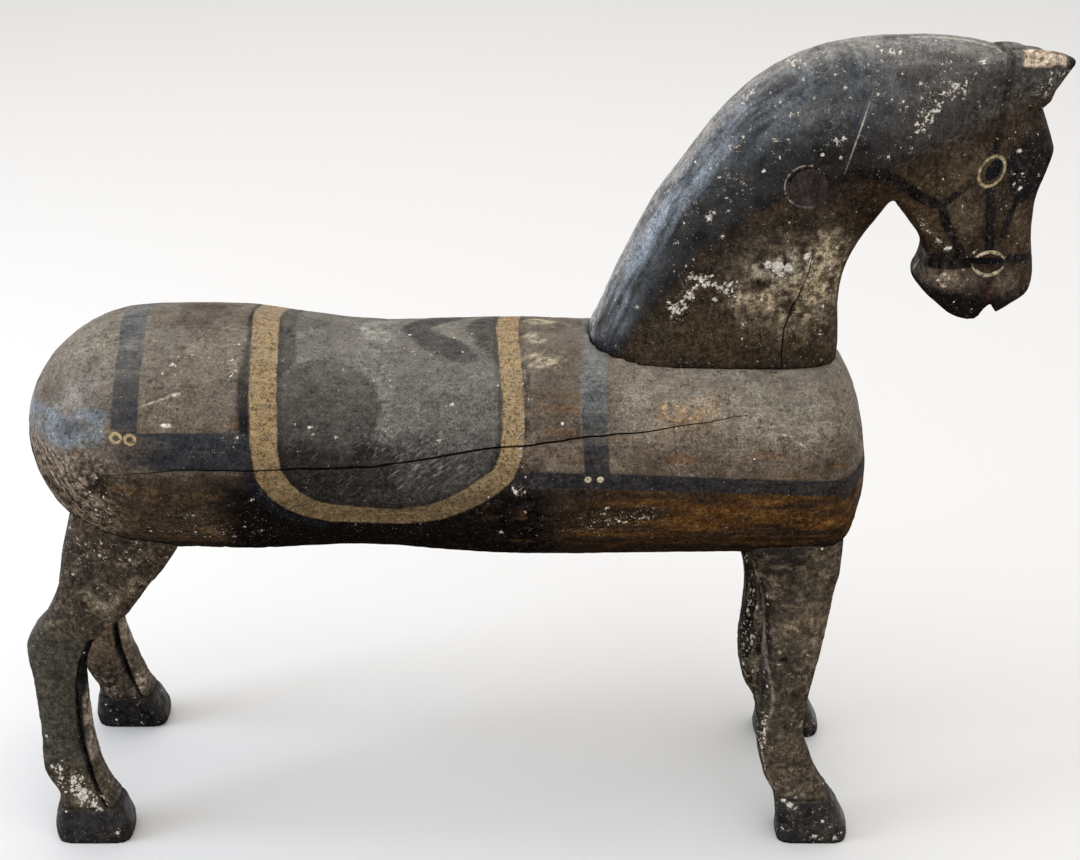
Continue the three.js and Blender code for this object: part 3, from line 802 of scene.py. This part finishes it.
def finish_piece(piece, node, material):
    """Smooth shading with crisp cut edges, the material, and the piece's place on the model."""
    piece.data.polygons.foreach_set("use_smooth", [True] * len(piece.data.polygons))
    piece.data.set_sharp_from_angle(angle=math.radians(50))
    piece.data.materials.clear()
    piece.data.materials.append(material)
    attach(piece, "root")
    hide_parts(node)


strap_blue = ("strap", "#262a30", "#353b41", 0.6)
ochre_border = ("border", "#c6aa7e", "#9d8258", 0.9)
# Two small ochre rings on the crupper strap, and two cream dots on the girth.
ring_centres = ((-304.5, 390.0), (-293.6, 389.2))
studs = [(centre, (3.8, 3.3), 0.0, 1.1, "#a08c6a", 0.3, True) for centre in ring_centres]
studs += [((x, 356.0), (2.6, 2.5), 0.0, None, "#b5a88c", 0.4, True) for x in (54.0, 63.5)]
# A worn orange smear on the shoulder with faint pale scrapes before it, a grey streak at the chest
# band, and two scrapes and a chip on the croup.
log_marks = studs + [
    ((120.0, 402.0), (9.0, 4.4), 14.0, 0.6, "#b8966f", 0.17, False),
    ((134.0, 399.5), (7.0, 2.4), -8.0, None, "#b08c64", 0.09, False),
    ((122.5, 393.5), (3.0, 4.6), 24.0, None, "#b08c64", 0.08, False),
    ((158.0, 406.0), (9.0, 2.6), 6.0, 0.3, "#a08866", 0.1, False),
    ((189.0, 395.5), (7.0, 2.8), 16.0, 0.3, "#a79c8c", 0.13, False),
    ((205.0, 386.5), (8.0, 0.7), 10.0, None, "#a79c8c", 0.16, False),
    ((220.0, 378.5), (11.0, 0.6), 27.0, None, "#a79c8c", 0.18, False),
    ((134.0, 359.5), (13.0, 1.8), 0.0, None, "#757a70", 0.04, False),
    ((-271.5, 415.5), (12.5, 0.7), -17.0, None, "#a59a89", 0.25, False),
    ((-258.5, 419.0), (3.6, 1.1), -10.0, None, "#bdb3a3", 0.3, False),
    ((-265.5, 399.5), (4.4, 1.5), 0.0, None, "#cbc3b5", 0.3, False),
]
log_paint = old_paint("oil_paint_on_log", [strap_blue, ochre_border], log_marks, (0.14, 1.0, 1.0))
finish_piece(trunk, "trunk", log_paint)

# The neck and head.
# One block, sawn flat below and set in the log's seat. It is carved with an arched crest, two short
# ears laid forward, a narrow face and a notched mouth. The mane is only painted, blue-black over
# brown, and so are the bridle and the ring round the eye.

neck = carved_copy("neck_and_head", voxel=1.6)
neck_low, _ = box_of("neck_and_head")
plug_low, plug_high = box_of("neck_plug")
plug_middle = (plug_low + plug_high)[[0, 2]] / 2
plug_radius = (plug_high[0] - plug_low[0]) / 2


def true_bore(points, radius, reach):
    """Draws the points beside the plug's joint to one round line."""
    spokes = points[:, [0, 2]] - plug_middle
    spoke_length = np.linalg.norm(spokes, axis=1)
    near = (np.abs(spoke_length - radius) < reach) & (points[:, 1] < 0)
    points[np.ix_(near, (0, 2))] = plug_middle + spokes[near] * (radius / spoke_length[near])[:, None]
    return points


def push(points, across, corrections):
    """Moves the points near each centre by its shift, all as seen from the side.

    A correction is (centre, radii, shift), each in x and z, and it fades out across the piece too.
    """
    for (x, z), (reach_x, reach_z), (shift_x, shift_z) in corrections:
        amount = patch(points, (x, 0, z), (reach_x, across, reach_z))
        points = points + amount[:, None] * np.array((shift_x, 0, shift_z))
    return points


points = read_points(neck.data)
in_seat = near_box(points, "trunk", reach=10)
lips = patch(points[:, [0, 2]], (359, 478), (12, 14))
ear_tips = ramp(points[:, 0], 372, 392) * ramp(points[:, 2], 634, 646)
bore = near_box(points, "neck_plug", reach=3)
held = in_seat + 0.85 * lips + 0.6 * ear_tips + 0.86 * ramp(points[:, 0], 280, 312) + bore
points = rub_down(neck.data, points, passes=14, strength=1 - np.clip(held, 0, 0.94))
# The base fills its seat, the poll stands a little higher, the throat runs lower, and the muzzle has
# squarer corners.
points = push(points, across=60, corrections=[
    ((64, 441), (18, 9), (-3.0, 0)),
    ((100, 548), (34, 70), (-0.8, 0.5)),
    ((196, 652), (60, 30), (-0.5, 0.7)),
    ((270, 545), (17, 20), (0.6, -2.8)),
    ((357, 664), (30, 14), (0, 2.4)),
    ((262, 533), (18, 26), (1.6, -1.2)),
    ((301, 490), (8, 13), (-3.2, -0.8)),
    ((337, 451), (13, 9), (-0.8, -3.0)),
    ((388, 481), (9, 9), (2.0, -1.8)),
    ((394, 526), (12, 28), (1.5, 0)),
    ((399, 592), (9, 9), (1.6, 0)),
    ((397, 563), (11, 12), (-1.6, 0)),
])
write_points(neck.data, true_bore(points, plug_radius + 0.3, reach=1.3), "neck_and_head")
normals = read_points(neck.data, "normal")
cut_depth = 0.25 + 0.55 * unevenness(points, 30, 21) + 0.3 * unevenness(points, 11, 22)
cut_depth = np.maximum(cut_depth, 0) + 0.12 + 0.15 * unevenness(points, 5, 23, 2)
cut_depth = cut_depth * (1 - 0.7 * ear_tips) * (1 - 0.5 * ramp(points[:, 0], 280, 312))
cut_depth = cut_depth * (1 - in_seat) * (1 - near_box(points, "neck_plug", reach=2))
write_points(neck.data, points - normals * cut_depth[:, None], "neck_and_head")

# The crack up from the base, on the right side only.
base_crack = [(204, 421), (203, 440), (204, 459), (208, 473), (214, 486), (220, 502), (223, 522)]
crack_xs, crack_heights = zip(*base_crack)
heights = np.linspace(crack_heights[0], crack_heights[-1], 22)
wander = unevenness(np.outer(heights, (1, 0, 0)), size=9, seed=24)
crack_x = np.interp(heights, crack_heights, crack_xs) + 0.8 * wander
origins = [(x, -150, max(z, neck_low[2] + 1)) for x, z in zip(crack_x, heights)]
centres = surface_points(neck, origins, [(0, 1, 0)] * len(origins))
centres[0].z = heights[0] - 1
outwards, across = [Vector((0, -1, 0))] * len(origins), [Vector((1, 0, 0))] * len(origins)
drying_crack(neck, centres, outwards, across, width=1.6, depth=8.0)

points = read_points(neck.data)
normals = read_points(neck.data, "normal")
side_view = points[:, [0, 2]]
clouds = unevenness(points, 42, 31)
mottles = unevenness(points, 14, 32)
crumbs = unevenness(points, 6, 33, 2)

# The lower edge of the painted mane, from the withers to the poll and round behind the ears.
mane_edge = [
    (52, 415), (73, 436), (94, 463), (108, 489), (137, 522), (166, 548), (201, 571), (230, 581),
    (267, 586), (292, 600), (318, 622), (338, 640), (348, 700), (120, 720), (20, 600), (20, 415),
]
mane = inside_distance(side_view, mane_edge)
# The middle line of the painted sheen down the back of the neck.
painted_sheen_line = [(64, 445), (81, 492), (102, 532), (121, 565), (142, 595), (166, 624), (200, 648)]
from_sheen = line_distance(side_view, painted_sheen_line)
# Brush marks run with the sheen, along the neck.
along_neck = np.arctan2(points[:, 2] - 440, 330 - points[:, 0]) * 220
brush_marks = unevenness(np.stack([along_neck * 0.1, from_sheen, points[:, 1] * 0.3], axis=1), 4, 34, 2)

# Where the brown paint shows golden, where the mane carries a painted sheen and its crest worn paint
# with a painted highlight, where the poll is rubbed pale, and where the right ear is bare.
golden = patches(side_view, [
    ((208, 490), (32, 30), 1.0),
    ((232, 520), (12, 20), 0.7),
    ((180, 484), (18, 10), 0.7),
    ((237, 497), (13, 20), 0.7),
])
broken_up = ramp(mottles, -1.0, 0.2)
poll = ramp(side_view @ np.array((-0.45, 1.0)), 452, 476) * ramp(points[:, 0], 240, 300)
painted_sheen = fade(from_sheen, 12) * ramp(points[:, 2], 424, 462)
painted_shoulder_sheen = patch(side_view, (172, 628), (24, 18)) * ramp(brush_marks + mottles, -1.0, 0.6)
crest = 1 - ramp(np.abs(points[:, 1]), 8, 24)
upper_back = ramp(normals[:, 2] - 0.6 * normals[:, 0], 0.4, 0.9)
chin_line = side_view @ np.array((0.25, 1.0))
ear_top = ramp(points[:, 0], 363, 367) * (1 - ramp(points[:, 0], 394, 399)) * ramp(-points[:, 1], 6, 10)
ear_top = ear_top * ramp(points[:, 2] + 1.2 * crumbs, 658.3, 660.3)
poll_line = line_distance(points[:, :2], [(288, -3), (330, -4), (352, -7), (372, -9)])
poll_line = fade(poll_line, 1.5) * ramp(normals[:, 2], 0.1, 0.4)

coat = painted("#30271f", [
    ("#413425", 0.2 + 0.8 * clouds),
    ("#211b17", 0.2 + 0.9 * mottles),
    ("#82735d", golden * ramp(mottles + crumbs, -1.2, 0.5) * 0.95),
    ("#aa9c83", golden * ramp(crumbs + 0.4 * mottles, 0.0, 0.8) * 0.85),
    ("#c2b7a4", patch(side_view, (200, 507), (20, 10)) * ramp(crumbs + mottles, -0.9, 0.4) * 0.8),
    ("#4f4231", patch(side_view, (150, 455), (50, 22)) * ramp(mottles, -0.4, 0.6) * 0.6),
    # Painted shade along the foot of the neck, where it meets the log.
    ("#1d1815", (1 - ramp(points[:, 2], 424, 436)) * 0.5),
    ("#554939", patch(side_view, (332, 547), (16, 18)) * broken_up * 0.85),
    ("#554838", patch(side_view, (374, 537), (9, 20)) * broken_up * 0.85),
    ("#4f4234", patch(side_view, (325, 585), (26, 16)) * broken_up * 0.85),
    ("#2b2119", patch(side_view, (262, 562), (26, 18)) * broken_up * 0.7),
    ("#271f19", patch(side_view, (222, 545), (20, 12)) * broken_up * 0.7),
    ("#4f4034", patch(side_view, (236, 598), (18, 12)) * broken_up * 0.6),
    # The mane, then painted sheen and highlight over it, and lighter grey on the faces that turn upwards.
    ("#17181b", ramp(mane + 5 * mottles + 3 * clouds, -8, 6) * 0.96),
    ("#464c52", ramp(mane, 16, 50) * (0.75 + 0.4 * clouds + 0.35 * brush_marks)),
    ("#0e0d0e", fade(mane - 9, 12) * (0.75 + 0.4 * brush_marks)),
    ("#151210", patch(side_view, (238, 592), (27, 18)) * 0.9),
    ("#5f5852", patch(side_view, (224, 625), (20, 10)) * ramp(mottles + crumbs, -0.8, 0.5) * 0.6),
    ("#403c39", poll * 0.8),
    # Painted sheen down the back of the neck and on its shoulder.
    ("#7f8890", painted_sheen * ramp(brush_marks + 0.5 * mottles, -0.7, 0.8) * 0.9),
    ("#7a8187", painted_shoulder_sheen * 0.6),
    # Worn paint on the crest, with a painted highlight where it faces up and back.
    ("#938e88", crest * upper_back * ramp(crumbs + brush_marks, -0.8, 0.8) * 0.9),
    ("#6b6a69", ramp(normals[:, 2], 0.35, 0.95) * ramp(brush_marks + mottles, -1.1, 0.7) * 0.8),
    # The chin, the muzzle and the mouth.
    ("#1f1c1b", (1 - ramp(chin_line, 575, 592)) * ramp(points[:, 0], 290, 300) * 0.7),
    ("#736657", patch(side_view, (328, 492), (17, 10)) * ramp(mottles, -0.8, 0.3) * 0.9),
    ("#65574a", patch(side_view, (372, 490), (9, 10)) * 0.7),
    ("#131112", (1 - ramp(chin_line, 560, 570)) * ramp(points[:, 0], 290, 300) * 0.85),
    ("#3f201a", patch(side_view, (359.5, 484), (2.4, 8)) * 0.8),
    # Bare wood on the right ear, and a pale line from the poll to it.
    ("#55534f", patch(side_view, (384, 649), (15, 9)) * ramp(mottles, -1.0, 0.3) * 0.8),
    ("#c6b39c", ear_top * ramp(crumbs + mottles, -1.4, -0.2)),
    ("#c0b9ae", poll_line * ramp(crumbs + mottles, -1.2, 0.0) * 0.85),
    ("#5b3f2c", ear_top * ramp(crumbs - mottles, 0.4, 0.9) * 0.8),
    ("#151414", ramp(points[:, 0], 394, 399) * ramp(points[:, 2], 640, 646) * 0.8),
])

# Bridle straps in side view, with half their width.
bridle = [
    ([(356, 665), (354, 643), (353, 621), (351, 598)], 2.8),
    ([(350, 568), (353, 544), (356, 517)], 3.6),
    ([(318, 508), (330, 512), (342, 508)], 4.6),
    ([(335, 573), (321, 559), (310, 555)], 2.4),
    ([(310, 556), (298, 561), (287, 570), (272, 578), (252, 583)], 4.5),
    ([(316, 554), (321, 540), (334, 518)], 3.6),
    ([(400, 512), (392, 509), (365, 510), (338, 506), (312, 503)], 3.2),
    ([(371, 563), (368, 548), (364, 530)], 2.2),
]
strap = np.max([half - line_distance(side_view, line) for line, half in bridle], axis=0)
forelock = [
    (358, 591), (369, 601), (382, 610), (410, 612), (410, 574), (396, 570), (385, 566), (375, 558),
    (367, 563), (361, 577),
]
strap = np.maximum(strap, inside_distance(side_view, forelock) + 1.5 * mottles)

worn = 0.27 + 0.08 * clouds + patches(side_view, [
    ((262, 634), (30, 8), 0.2),
    ((210, 598), (12, 9), 0.3),
    ((383, 585), (9, 20), 0.3),
    ((385, 640), (14, 12), 0.3),
    ((366, 520), (8, 4), 0.3),
    ((232, 470), (6, 22), 0.3),
])
worn += 0.3 * crest * ramp(normals[:, 2], 0.2, 0.6) + 0.2 * golden
faded = 0.2 + 0.4 * mottles + 0.5 * patch(side_view, (353, 632), (14, 26))
faded = faded * (1 - ramp(inside_distance(side_view, forelock), -3, 1))
dust = np.clip(normals[:, 2], 0, 1) ** 1.3 * 0.5
varnish = ramp(normals[:, 2], -0.3, 0.3) * (0.2 + 0.8 * ramp(mane, -6, 6))
scrubbed = 0.4 * (1 - ramp(mane, -10, 8)) + 0.5 * np.clip(golden, 0, 1)

# Flakes of the chalk ground: a thick arc and two patches low on the neck, a spray behind the ear,
# single ones over the mane and the face, and others on the left side.
right_flakes = [
    (196, 509, 4.8), (189, 511, 3.4), (204, 508, 3.8), (199, 503, 2.4), (218, 516, 3.0),
    (221, 512, 2.0), (240, 533, 1.3), (237, 504, 1.5), (241, 521, 1.6), (234, 513, 1.2),
    (143, 546, 1.5), (146, 551, 1.4), (157, 577, 1.2), (157, 598, 1.3), (199, 625, 1.3),
    (204, 627, 1.2), (194, 617, 1.0), (237, 644, 1.3), (241, 638, 1.1), (288, 600, 1.3),
    (272, 594, 1.1), (368, 597, 1.9), (360, 592, 1.1), (366, 580, 1.2), (372, 580, 1.4),
    (371, 575, 1.0), (372, 569, 1.4), (367, 572, 1.1), (381, 608, 1.2), (345, 517, 1.3),
    (369, 529, 1.2), (92, 473, 1.2), (120, 526, 1.1), (172, 614, 1.1), (188, 630, 1.1),
]
right_clusters = [
    ([(117, 474), (126, 476), (132, 492), (138, 501), (150, 495), (162, 489)], 110, 3.2, (0.9, 2.1), 81),
    ([(228, 608), (236, 603)], 12, (4, 4), (0.8, 1.5), 82),
    ([(140, 545), (146, 551)], 10, 2.5, (0.6, 1.3), 83),
    ([(155, 597), (163, 599)], 9, 1.0, (0.5, 1.2), 84),
    ([(262, 667), (278, 666)], 22, (3, 2), (0.6, 1.5), 85),
    ([(293, 614), (297, 627), (306, 638), (324, 646)], 90, (5, 4.5), (0.6, 1.6), 86),
    ([(396, 655), (385, 648), (380, 633)], 30, 3.0, (0.5, 1.2), 87),
    ([(302, 541), (311, 530), (319, 523), (326, 519)], 34, 1.4, (0.5, 1.5), 88),
    ([(120, 540), (200, 630), (320, 640)], 150, (14, 20), (0.4, 1.2), 89),
    ([(225, 655), (345, 664)], 30, (12, 4), (0.4, 1.1), 90),
    ([(160, 470), (240, 470)], 34, (14, 18), (0.4, 1.1), 91),
    ([(198, 655), (210, 659)], 16, 1.0, (0.6, 1.1), 92),
    ([(164, 628), (174, 637)], 10, 0.8, (0.6, 1.1), 93),
    ([(334, 663), (343, 662)], 8, 1.2, (0.5, 1.1), 95),
]
left_cluster = ([(120, 500), (180, 590), (330, 620)], 190, 20, (0.5, 1.5), 94)
on_right = inside_flakes(side_view, right_clusters, right_flakes)
flake = np.where(points[:, 1] < 0, on_right, inside_flakes(side_view, [left_cluster]))
set_layers(
    neck.data,
    strap=strap,
    worn=worn,
    faded=faded,
    dust=dust,
    flake=flake,
    varnish=varnish,
    scrubbed=scrubbed,
    coat=coat,
)

bridle_blue = ("strap", "#0c0d10", "#181a1e", 0.5)
drawn_marks = [
    ((351.0, 583.0), (5.0, 9.0), 24.0, None, "#121314", 0.4, True),
    ((349.5, 582.0), (8.6, 12.0), 24.0, 0.9, "#978868", 0.28, True),
    ((357.0, 507.0), (11.0, 9.6), 0.0, 1.4, "#a4987e", 0.27, True),
    ((357.0, 507.2), (12.6, 7.2), 0.0, None, "#2d221b", 0.45, True),
    ((355.0, 509.2), (16.0, 3.0), 2.0, None, "#101113", 0.45, True),
    ((325.5, 492.5), (3.2, 5.0), 0.0, 0.8, "#a08f7b", 0.12, False),
    ((337.0, 494.5), (9.0, 0.9), 4.0, None, "#7d604f", 0.1, False),
    ((213.0, 572.0), (15.7, 15.7), 0.0, 0.45, "#93867a", 0.16, False),
    ((249.0, 612.0), (24.0, 0.6), -75.0, None, "#a3988c", 0.3, False),
]
neck_paint = old_paint("oil_paint_on_neck_block", [bridle_blue], drawn_marks, (1.0, 1.0, 0.16))
finish_piece(neck, "neck_and_head", neck_paint)

# The neck plug.
# A round wooden plug, bored in across the grain and let in flush on the right side of the neck. It
# carries the neck's paint, and its joint shows as a fine ring.

plug = carved_copy("neck_plug", voxel=0.8)
points = rub_down(plug.data, read_points(plug.data), passes=2, strength=0.6)
write_points(plug.data, true_bore(points, plug_radius - 0.05, reach=0.9), "neck_plug")
points = read_points(plug.data)
normals = read_points(plug.data, "normal")
outer_face = ramp(-normals[:, 1], 0.6, 0.9)
shallow = outer_face * (0.25 + 0.2 * unevenness(points, 7, 41))
write_points(plug.data, points - normals * shallow[:, None], "neck_plug")
coat = painted("#352a27", [("#241d1c", 0.4 + 0.7 * unevenness(read_points(plug.data), 6, 42, 3))])
set_layers(plug.data, coat=coat, worn=0.1, dust=0.0, flake=-9.0, varnish=0.3)
plug_paint = old_paint("oil_paint_on_plug", [], [], (1.0, 1.0, 0.3))
finish_piece(plug, "neck_plug", plug_paint)

# The legs.
# Four legs, each cut from one stick with its hoof, hollowed at the top to fit the log. The hind legs
# have a hock and a deep tendon groove, painted near black inside as shade. The coat is worn to
# grey-brown wood at the edges, white chalk shows low on the shanks, and the hooves are blue-black. The
# front legs carry painted shade on their backs and inner faces, and worn paint with a painted
# highlight along their rear edges.

hoof_black = ("hoof", "#0a0b0c", "#16181a", 0.5)
leg_paint = old_paint("oil_paint_on_legs", [hoof_black], [], (1.0, 1.0, 0.15))
groove_line = [
    (-350, 190), (-358, 172), (-363.8, 148), (-366, 132), (-366.6, 114), (-366.5, 91), (-363, 75),
    (-360, 61), (-356, 47), (-351, 36),
]
groove_heights, groove_widths = (36, 60, 90, 150, 190), (1.3, 1.9, 3.4, 3.8, 2.6)
front_edge_line = [
    (186, 268), (192, 250), (197, 228), (200, 200), (203, 172), (209, 152), (211, 135), (207, 110),
]
# How high the hoof's paint starts at the heel, and small corrections to each leg's form.
leg_forms = {
    "front_leg_right": (41, [((222, 12), (9, 12), (1.5, 0)), ((243, 82), (8, 14), (2.2, 0))]),
    "front_leg_left": (37, [
        ((190, 235), (8, 45), (-5.5, 0)),
        ((209, 16), (10, 20), (6, 0)),
        ((197, 203), (9, 26), (-4.5, 0)),
    ]),
    "rear_leg_right": (33, [
        ((-404, 184), (9, 16), (-1.8, 0)),
        ((-398, 74), (9, 18), (-2.4, 0)),
        ((-325, 32), (12, 24), (-2.6, 0)),
        ((-358, 95), (7, 36), (0.8, 0)),
    ]),
    "rear_leg_left": (34, [((-350, 82), (13, 32), (6.6, 0)), ((-404, 184), (9, 16), (-1.8, 0))]),
}
for seed, node in enumerate(leg_nodes, 50):
    is_rear = node.startswith("rear")
    is_right = node.endswith("right")
    leg = carved_copy(node, voxel=1.2)
    points = read_points(leg.data)
    sole = 1 - ramp(points[:, 2], 0.5, 4.0)
    joint = near_box(points, "trunk", reach=3)
    held = np.clip(0.85 * sole + 0.9 * joint, 0, 0.9)
    points = rub_down(leg.data, points, passes=8, strength=1 - held)
    coronet, corrections = leg_forms[node]
    points = push(points, across=200, corrections=corrections)
    write_points(leg.data, points, node)
    normals = read_points(leg.data, "normal")
    side_view = points[:, [0, 2]]
    cut_depth = 0.25 + 0.4 * unevenness(points * (1, 1, 0.5), 16, seed)
    cut_depth += 0.2 * unevenness(points, 6, seed + 10)
    cut_depth = np.maximum(cut_depth, 0) + 0.15 + 0.2 * unevenness(points, 4, seed + 40, 2)
    rough_thigh = ramp(points[:, 2], 190, 240) if is_rear else 0.4 * ramp(points[:, 2], 60, 90)
    cut_depth += rough_thigh * np.maximum(0.6 * unevenness(points, 8, seed + 50, 3), 0)
    cut_depth += 0.9 * fade(points[:, 2] - coronet - 1.0, 1.6)
    if is_rear:
        groove_width = np.interp(side_view[:, 1], groove_heights, groove_widths)
        into_groove = line_distance(side_view, groove_line) / groove_width
        cut_depth += 5.0 * fade(into_groove, 1) * ramp(np.abs(normals[:, 1]), 0.2, 0.5)
    cut_depth = cut_depth * (1 - sole) * (1 - joint)
    write_points(leg.data, points - normals * cut_depth[:, None], node)

    points = read_points(leg.data)
    normals = read_points(leg.data, "normal")
    heights = points[:, 2]
    clouds = unevenness(points, 34, seed + 20, 3)
    mottles = unevenness(points, 10, seed + 30, 3)
    crumbs = unevenness(points, 4, seed + 60, 2)
    inside_face = ramp(normals[:, 1] if is_right else -normals[:, 1], 0.2, 0.6)
    layers = [
        ("#4f4435", 0.1 + 0.8 * clouds),
        ("#231e1a", 0.2 + 0.8 * mottles),
        ("#77685a", ramp(mottles + crumbs, 0.5, 1.3) * 0.5),
    ]
    worn = 0.2 + 0.08 * clouds
    scrubbed = 0.35 + 0.35 * ramp(heights, 190, 230) if is_rear else 0.45 + 0.3 * inside_face
    scrubbed = scrubbed + 0.3 * (1 - ramp(heights, 70, 90))
    if is_rear:
        shank = (1 - ramp(heights, 185, 215)) * ramp(heights, 60, 100)
        thigh = ramp(heights, 195, 225)
        pale_heel = patch(side_view, (-351, 50), (5, 10)) * ramp(crumbs, -1.0, 0.3)
        layers += [
            ("#3d3b33", shank * (1 - inside_face) * 0.7),
            ("#6f6253", thigh * ramp(crumbs + mottles, 0.0, 1.0) * 0.4),
            ("#1e1713", thigh * ramp(crumbs - mottles, 0.1, 1.0) * 0.5),
            ("#6e6656", patch(side_view, (-345, 232), (26, 14)) * ramp(crumbs + mottles, -0.5, 0.7) * 0.7),
            ("#2a1c16", patch(side_view, (-318, 285), (40, 16)) * 0.6),
            ("#6a5a48", shank * inside_face * 0.6),
            ("#a39480", patch(side_view, (-359, 115), (4, 36)) * ramp(crumbs + mottles, -0.9, 0.5) * 0.85),
            ("#a0937f", pale_heel * (0.0 if is_right else 0.9)),
            # Painted shade: the tendon groove is near black inside.
            ("#060505", (1 - ramp(into_groove, 0.85, 1.25)) * 0.98),
        ]
        flakes = [(-396, 103, 1.2), (-344, 11, 1.9), (-333, 275, 1.1), (-310, 271, 1.2)]
        clusters = [
            ([(-389, 78), (-387, 56)], 34, (2.2, 3), (0.7, 1.8)),
            ([(-375, 64), (-371, 48), (-358, 38)], 110, (4.2, 5), (0.8, 2.3)),
            ([(-360, 276), (-300, 280)], 20, (8, 9), (0.4, 1.2)),
            ([(-350, 235), (-320, 250)], 10, (12, 9), (0.4, 0.9)),
        ]
        left_clusters = [
            ([(-354, 42), (-350, 58)], 16, (3, 4), (0.6, 1.3)),
            ([(-385, 30), (-340, 10)], 8, (8, 8), (0.4, 0.9)),
        ]
        worn += 0.25 * patch(side_view, (-374, 56), (17, 17)) + 0.3 * ramp(heights, 235, 275)
    else:
        backward = ramp(-normals[:, 0], 0.35, 0.8)
        # The right leg is brushed loosely, and the left one has long pale streaks down it.
        drawn_out, streak_colour = ((0.7, 1, 1.1), "#6f6350") if is_right else ((1.2, 1, 0.2), "#8a7d6c")
        streaks = unevenness(points * drawn_out, 5, seed + 70, 2)
        edge_line = fade(line_distance(side_view, front_edge_line), 1.3) * (1 - inside_face)
        layers += [
            ("#5f5445", patch(side_view, (236, 212), (26, 34)) * ramp(mottles, -0.8, 0.6) * 0.6),
            ("#5c4f41", patch(side_view, (240, 80), (26, 40)) * ramp(mottles, -0.8, 0.6) * 0.4),
            ("#1d1816", ramp(heights, 246, 276) * ramp(mottles - clouds, -1.0, 0.4) * 0.75),
            ("#2a211b", patch(side_view, (212, 232), (16, 26)) * ramp(mottles, -0.9, 0.4) * 0.7),
            ("#7f6e57", patch(side_view, (236, 206), (22, 11)) * ramp(mottles + crumbs, -1.1, 0.5) * 0.8),
            ("#171210", patch(side_view, (208, 262), (20, 12)) * ramp(mottles, -1.4, 0.0) * 0.8),
            ("#080706", patch(side_view, (217, 177), (5.5, 3.2)) * (1 - inside_face)),
            # Painted shade on the backs of the legs and on their inner faces, where they face each other.
            ("#100d0b", backward * ramp(heights, 70, 130) * 0.85),
            ("#16110e", inside_face * ramp(heights, 60, 90) * ramp(mottles, -1.2, 0.2) * 0.8),
            (streak_colour, ramp(streaks, 0.1, 0.9) * 0.45),
            ("#191411", ramp(-streaks, 0.2, 0.9) * 0.4),
            # Worn paint and a painted highlight along the leg's rear edge.
            ("#85786a", edge_line * ramp(crumbs, -1.0, 0.2) * 0.75),
        ]
        flakes = [
            (224, 42, 2.0), (229, 38, 2.6), (234, 36, 1.7), (258, 23, 1.8), (252, 8, 2.2),
            (257, 6, 1.6), (270, 6, 2.2), (275, 10, 1.4), (224, 14, 1.2), (214, 183, 1.3),
            (213, 171, 1.2), (242, 279, 1.2),
        ]
        clusters = [
            ([(205, 124), (204, 100), (203, 80), (207, 64)], 90, (1.3, 5), (0.6, 1.6)),
            ([(200, 205), (204, 150)], 24, (1.5, 6), (0.4, 0.9)),
            ([(225, 30), (268, 12)], 14, (8, 8), (0.4, 1.1)),
            ([(215, 240), (240, 100)], 22, (12, 14), (0.4, 0.9)),
        ]
        left_clusters = [
            ([(200, 180), (206, 152), (207, 126), (204, 110)], 26, (2.5, 8), (1.6, 3.6)),
            ([(202, 96), (206, 80), (214, 66)], 14, (2.5, 5), (1.2, 2.8)),
            ([(196, 240), (197, 200)], 9, (3, 8), (1.2, 2.6)),
            ([(210, 34), (268, 14)], 12, (8, 9), (0.4, 1.0)),
        ]
        worn += 0.2 * backward + 0.3 * patch(side_view, (203, 95), (8, 40)) + 0.2 * inside_face
    if not is_right:
        flakes, clusters = [], left_clusters
    layers.append(("#16120f", fade(heights - coronet - 1.5, 3.0) * 0.6))
    # The flakes of the left front leg are upright slivers.
    stretch = 1.0 if is_right or is_rear else 0.35
    flake = inside_flakes(points[:, [0, 2]], [(*cluster, seed) for cluster in clusters], flakes, stretch)
    # Across the back of the leg the flakes are broken up, so that none runs from side to side.
    broken = ramp(unevenness(points * (0, 1, 0.5), 4, seed + 80, 2), -0.5, 0.2)
    flake = flake - 5 * broken * ramp(np.abs(normals[:, 0]), 0.7, 0.92)
    low, high = box_of(node)
    toe = ramp(points[:, 0], low[0] + 30, high[0]) if is_rear else 0.0
    on_hoof = ramp(coronet - heights, 0, 3)
    set_layers(
        leg.data,
        hoof=coronet + 14 * toe - heights,
        worn=worn + 0.1 * on_hoof,
        dust=np.clip(normals[:, 2], 0, 1) * 0.5 * (1 - 0.8 * on_hoof),
        flake=flake,
        varnish=ramp(normals[:, 2], -0.3, 0.3) * (0.2 + 0.6 * on_hoof),
        scrubbed=scrubbed * (1 - 0.8 * on_hoof),
        coat=painted("#3f372d", layers),
    )
    finish_piece(leg, node, leg_paint)
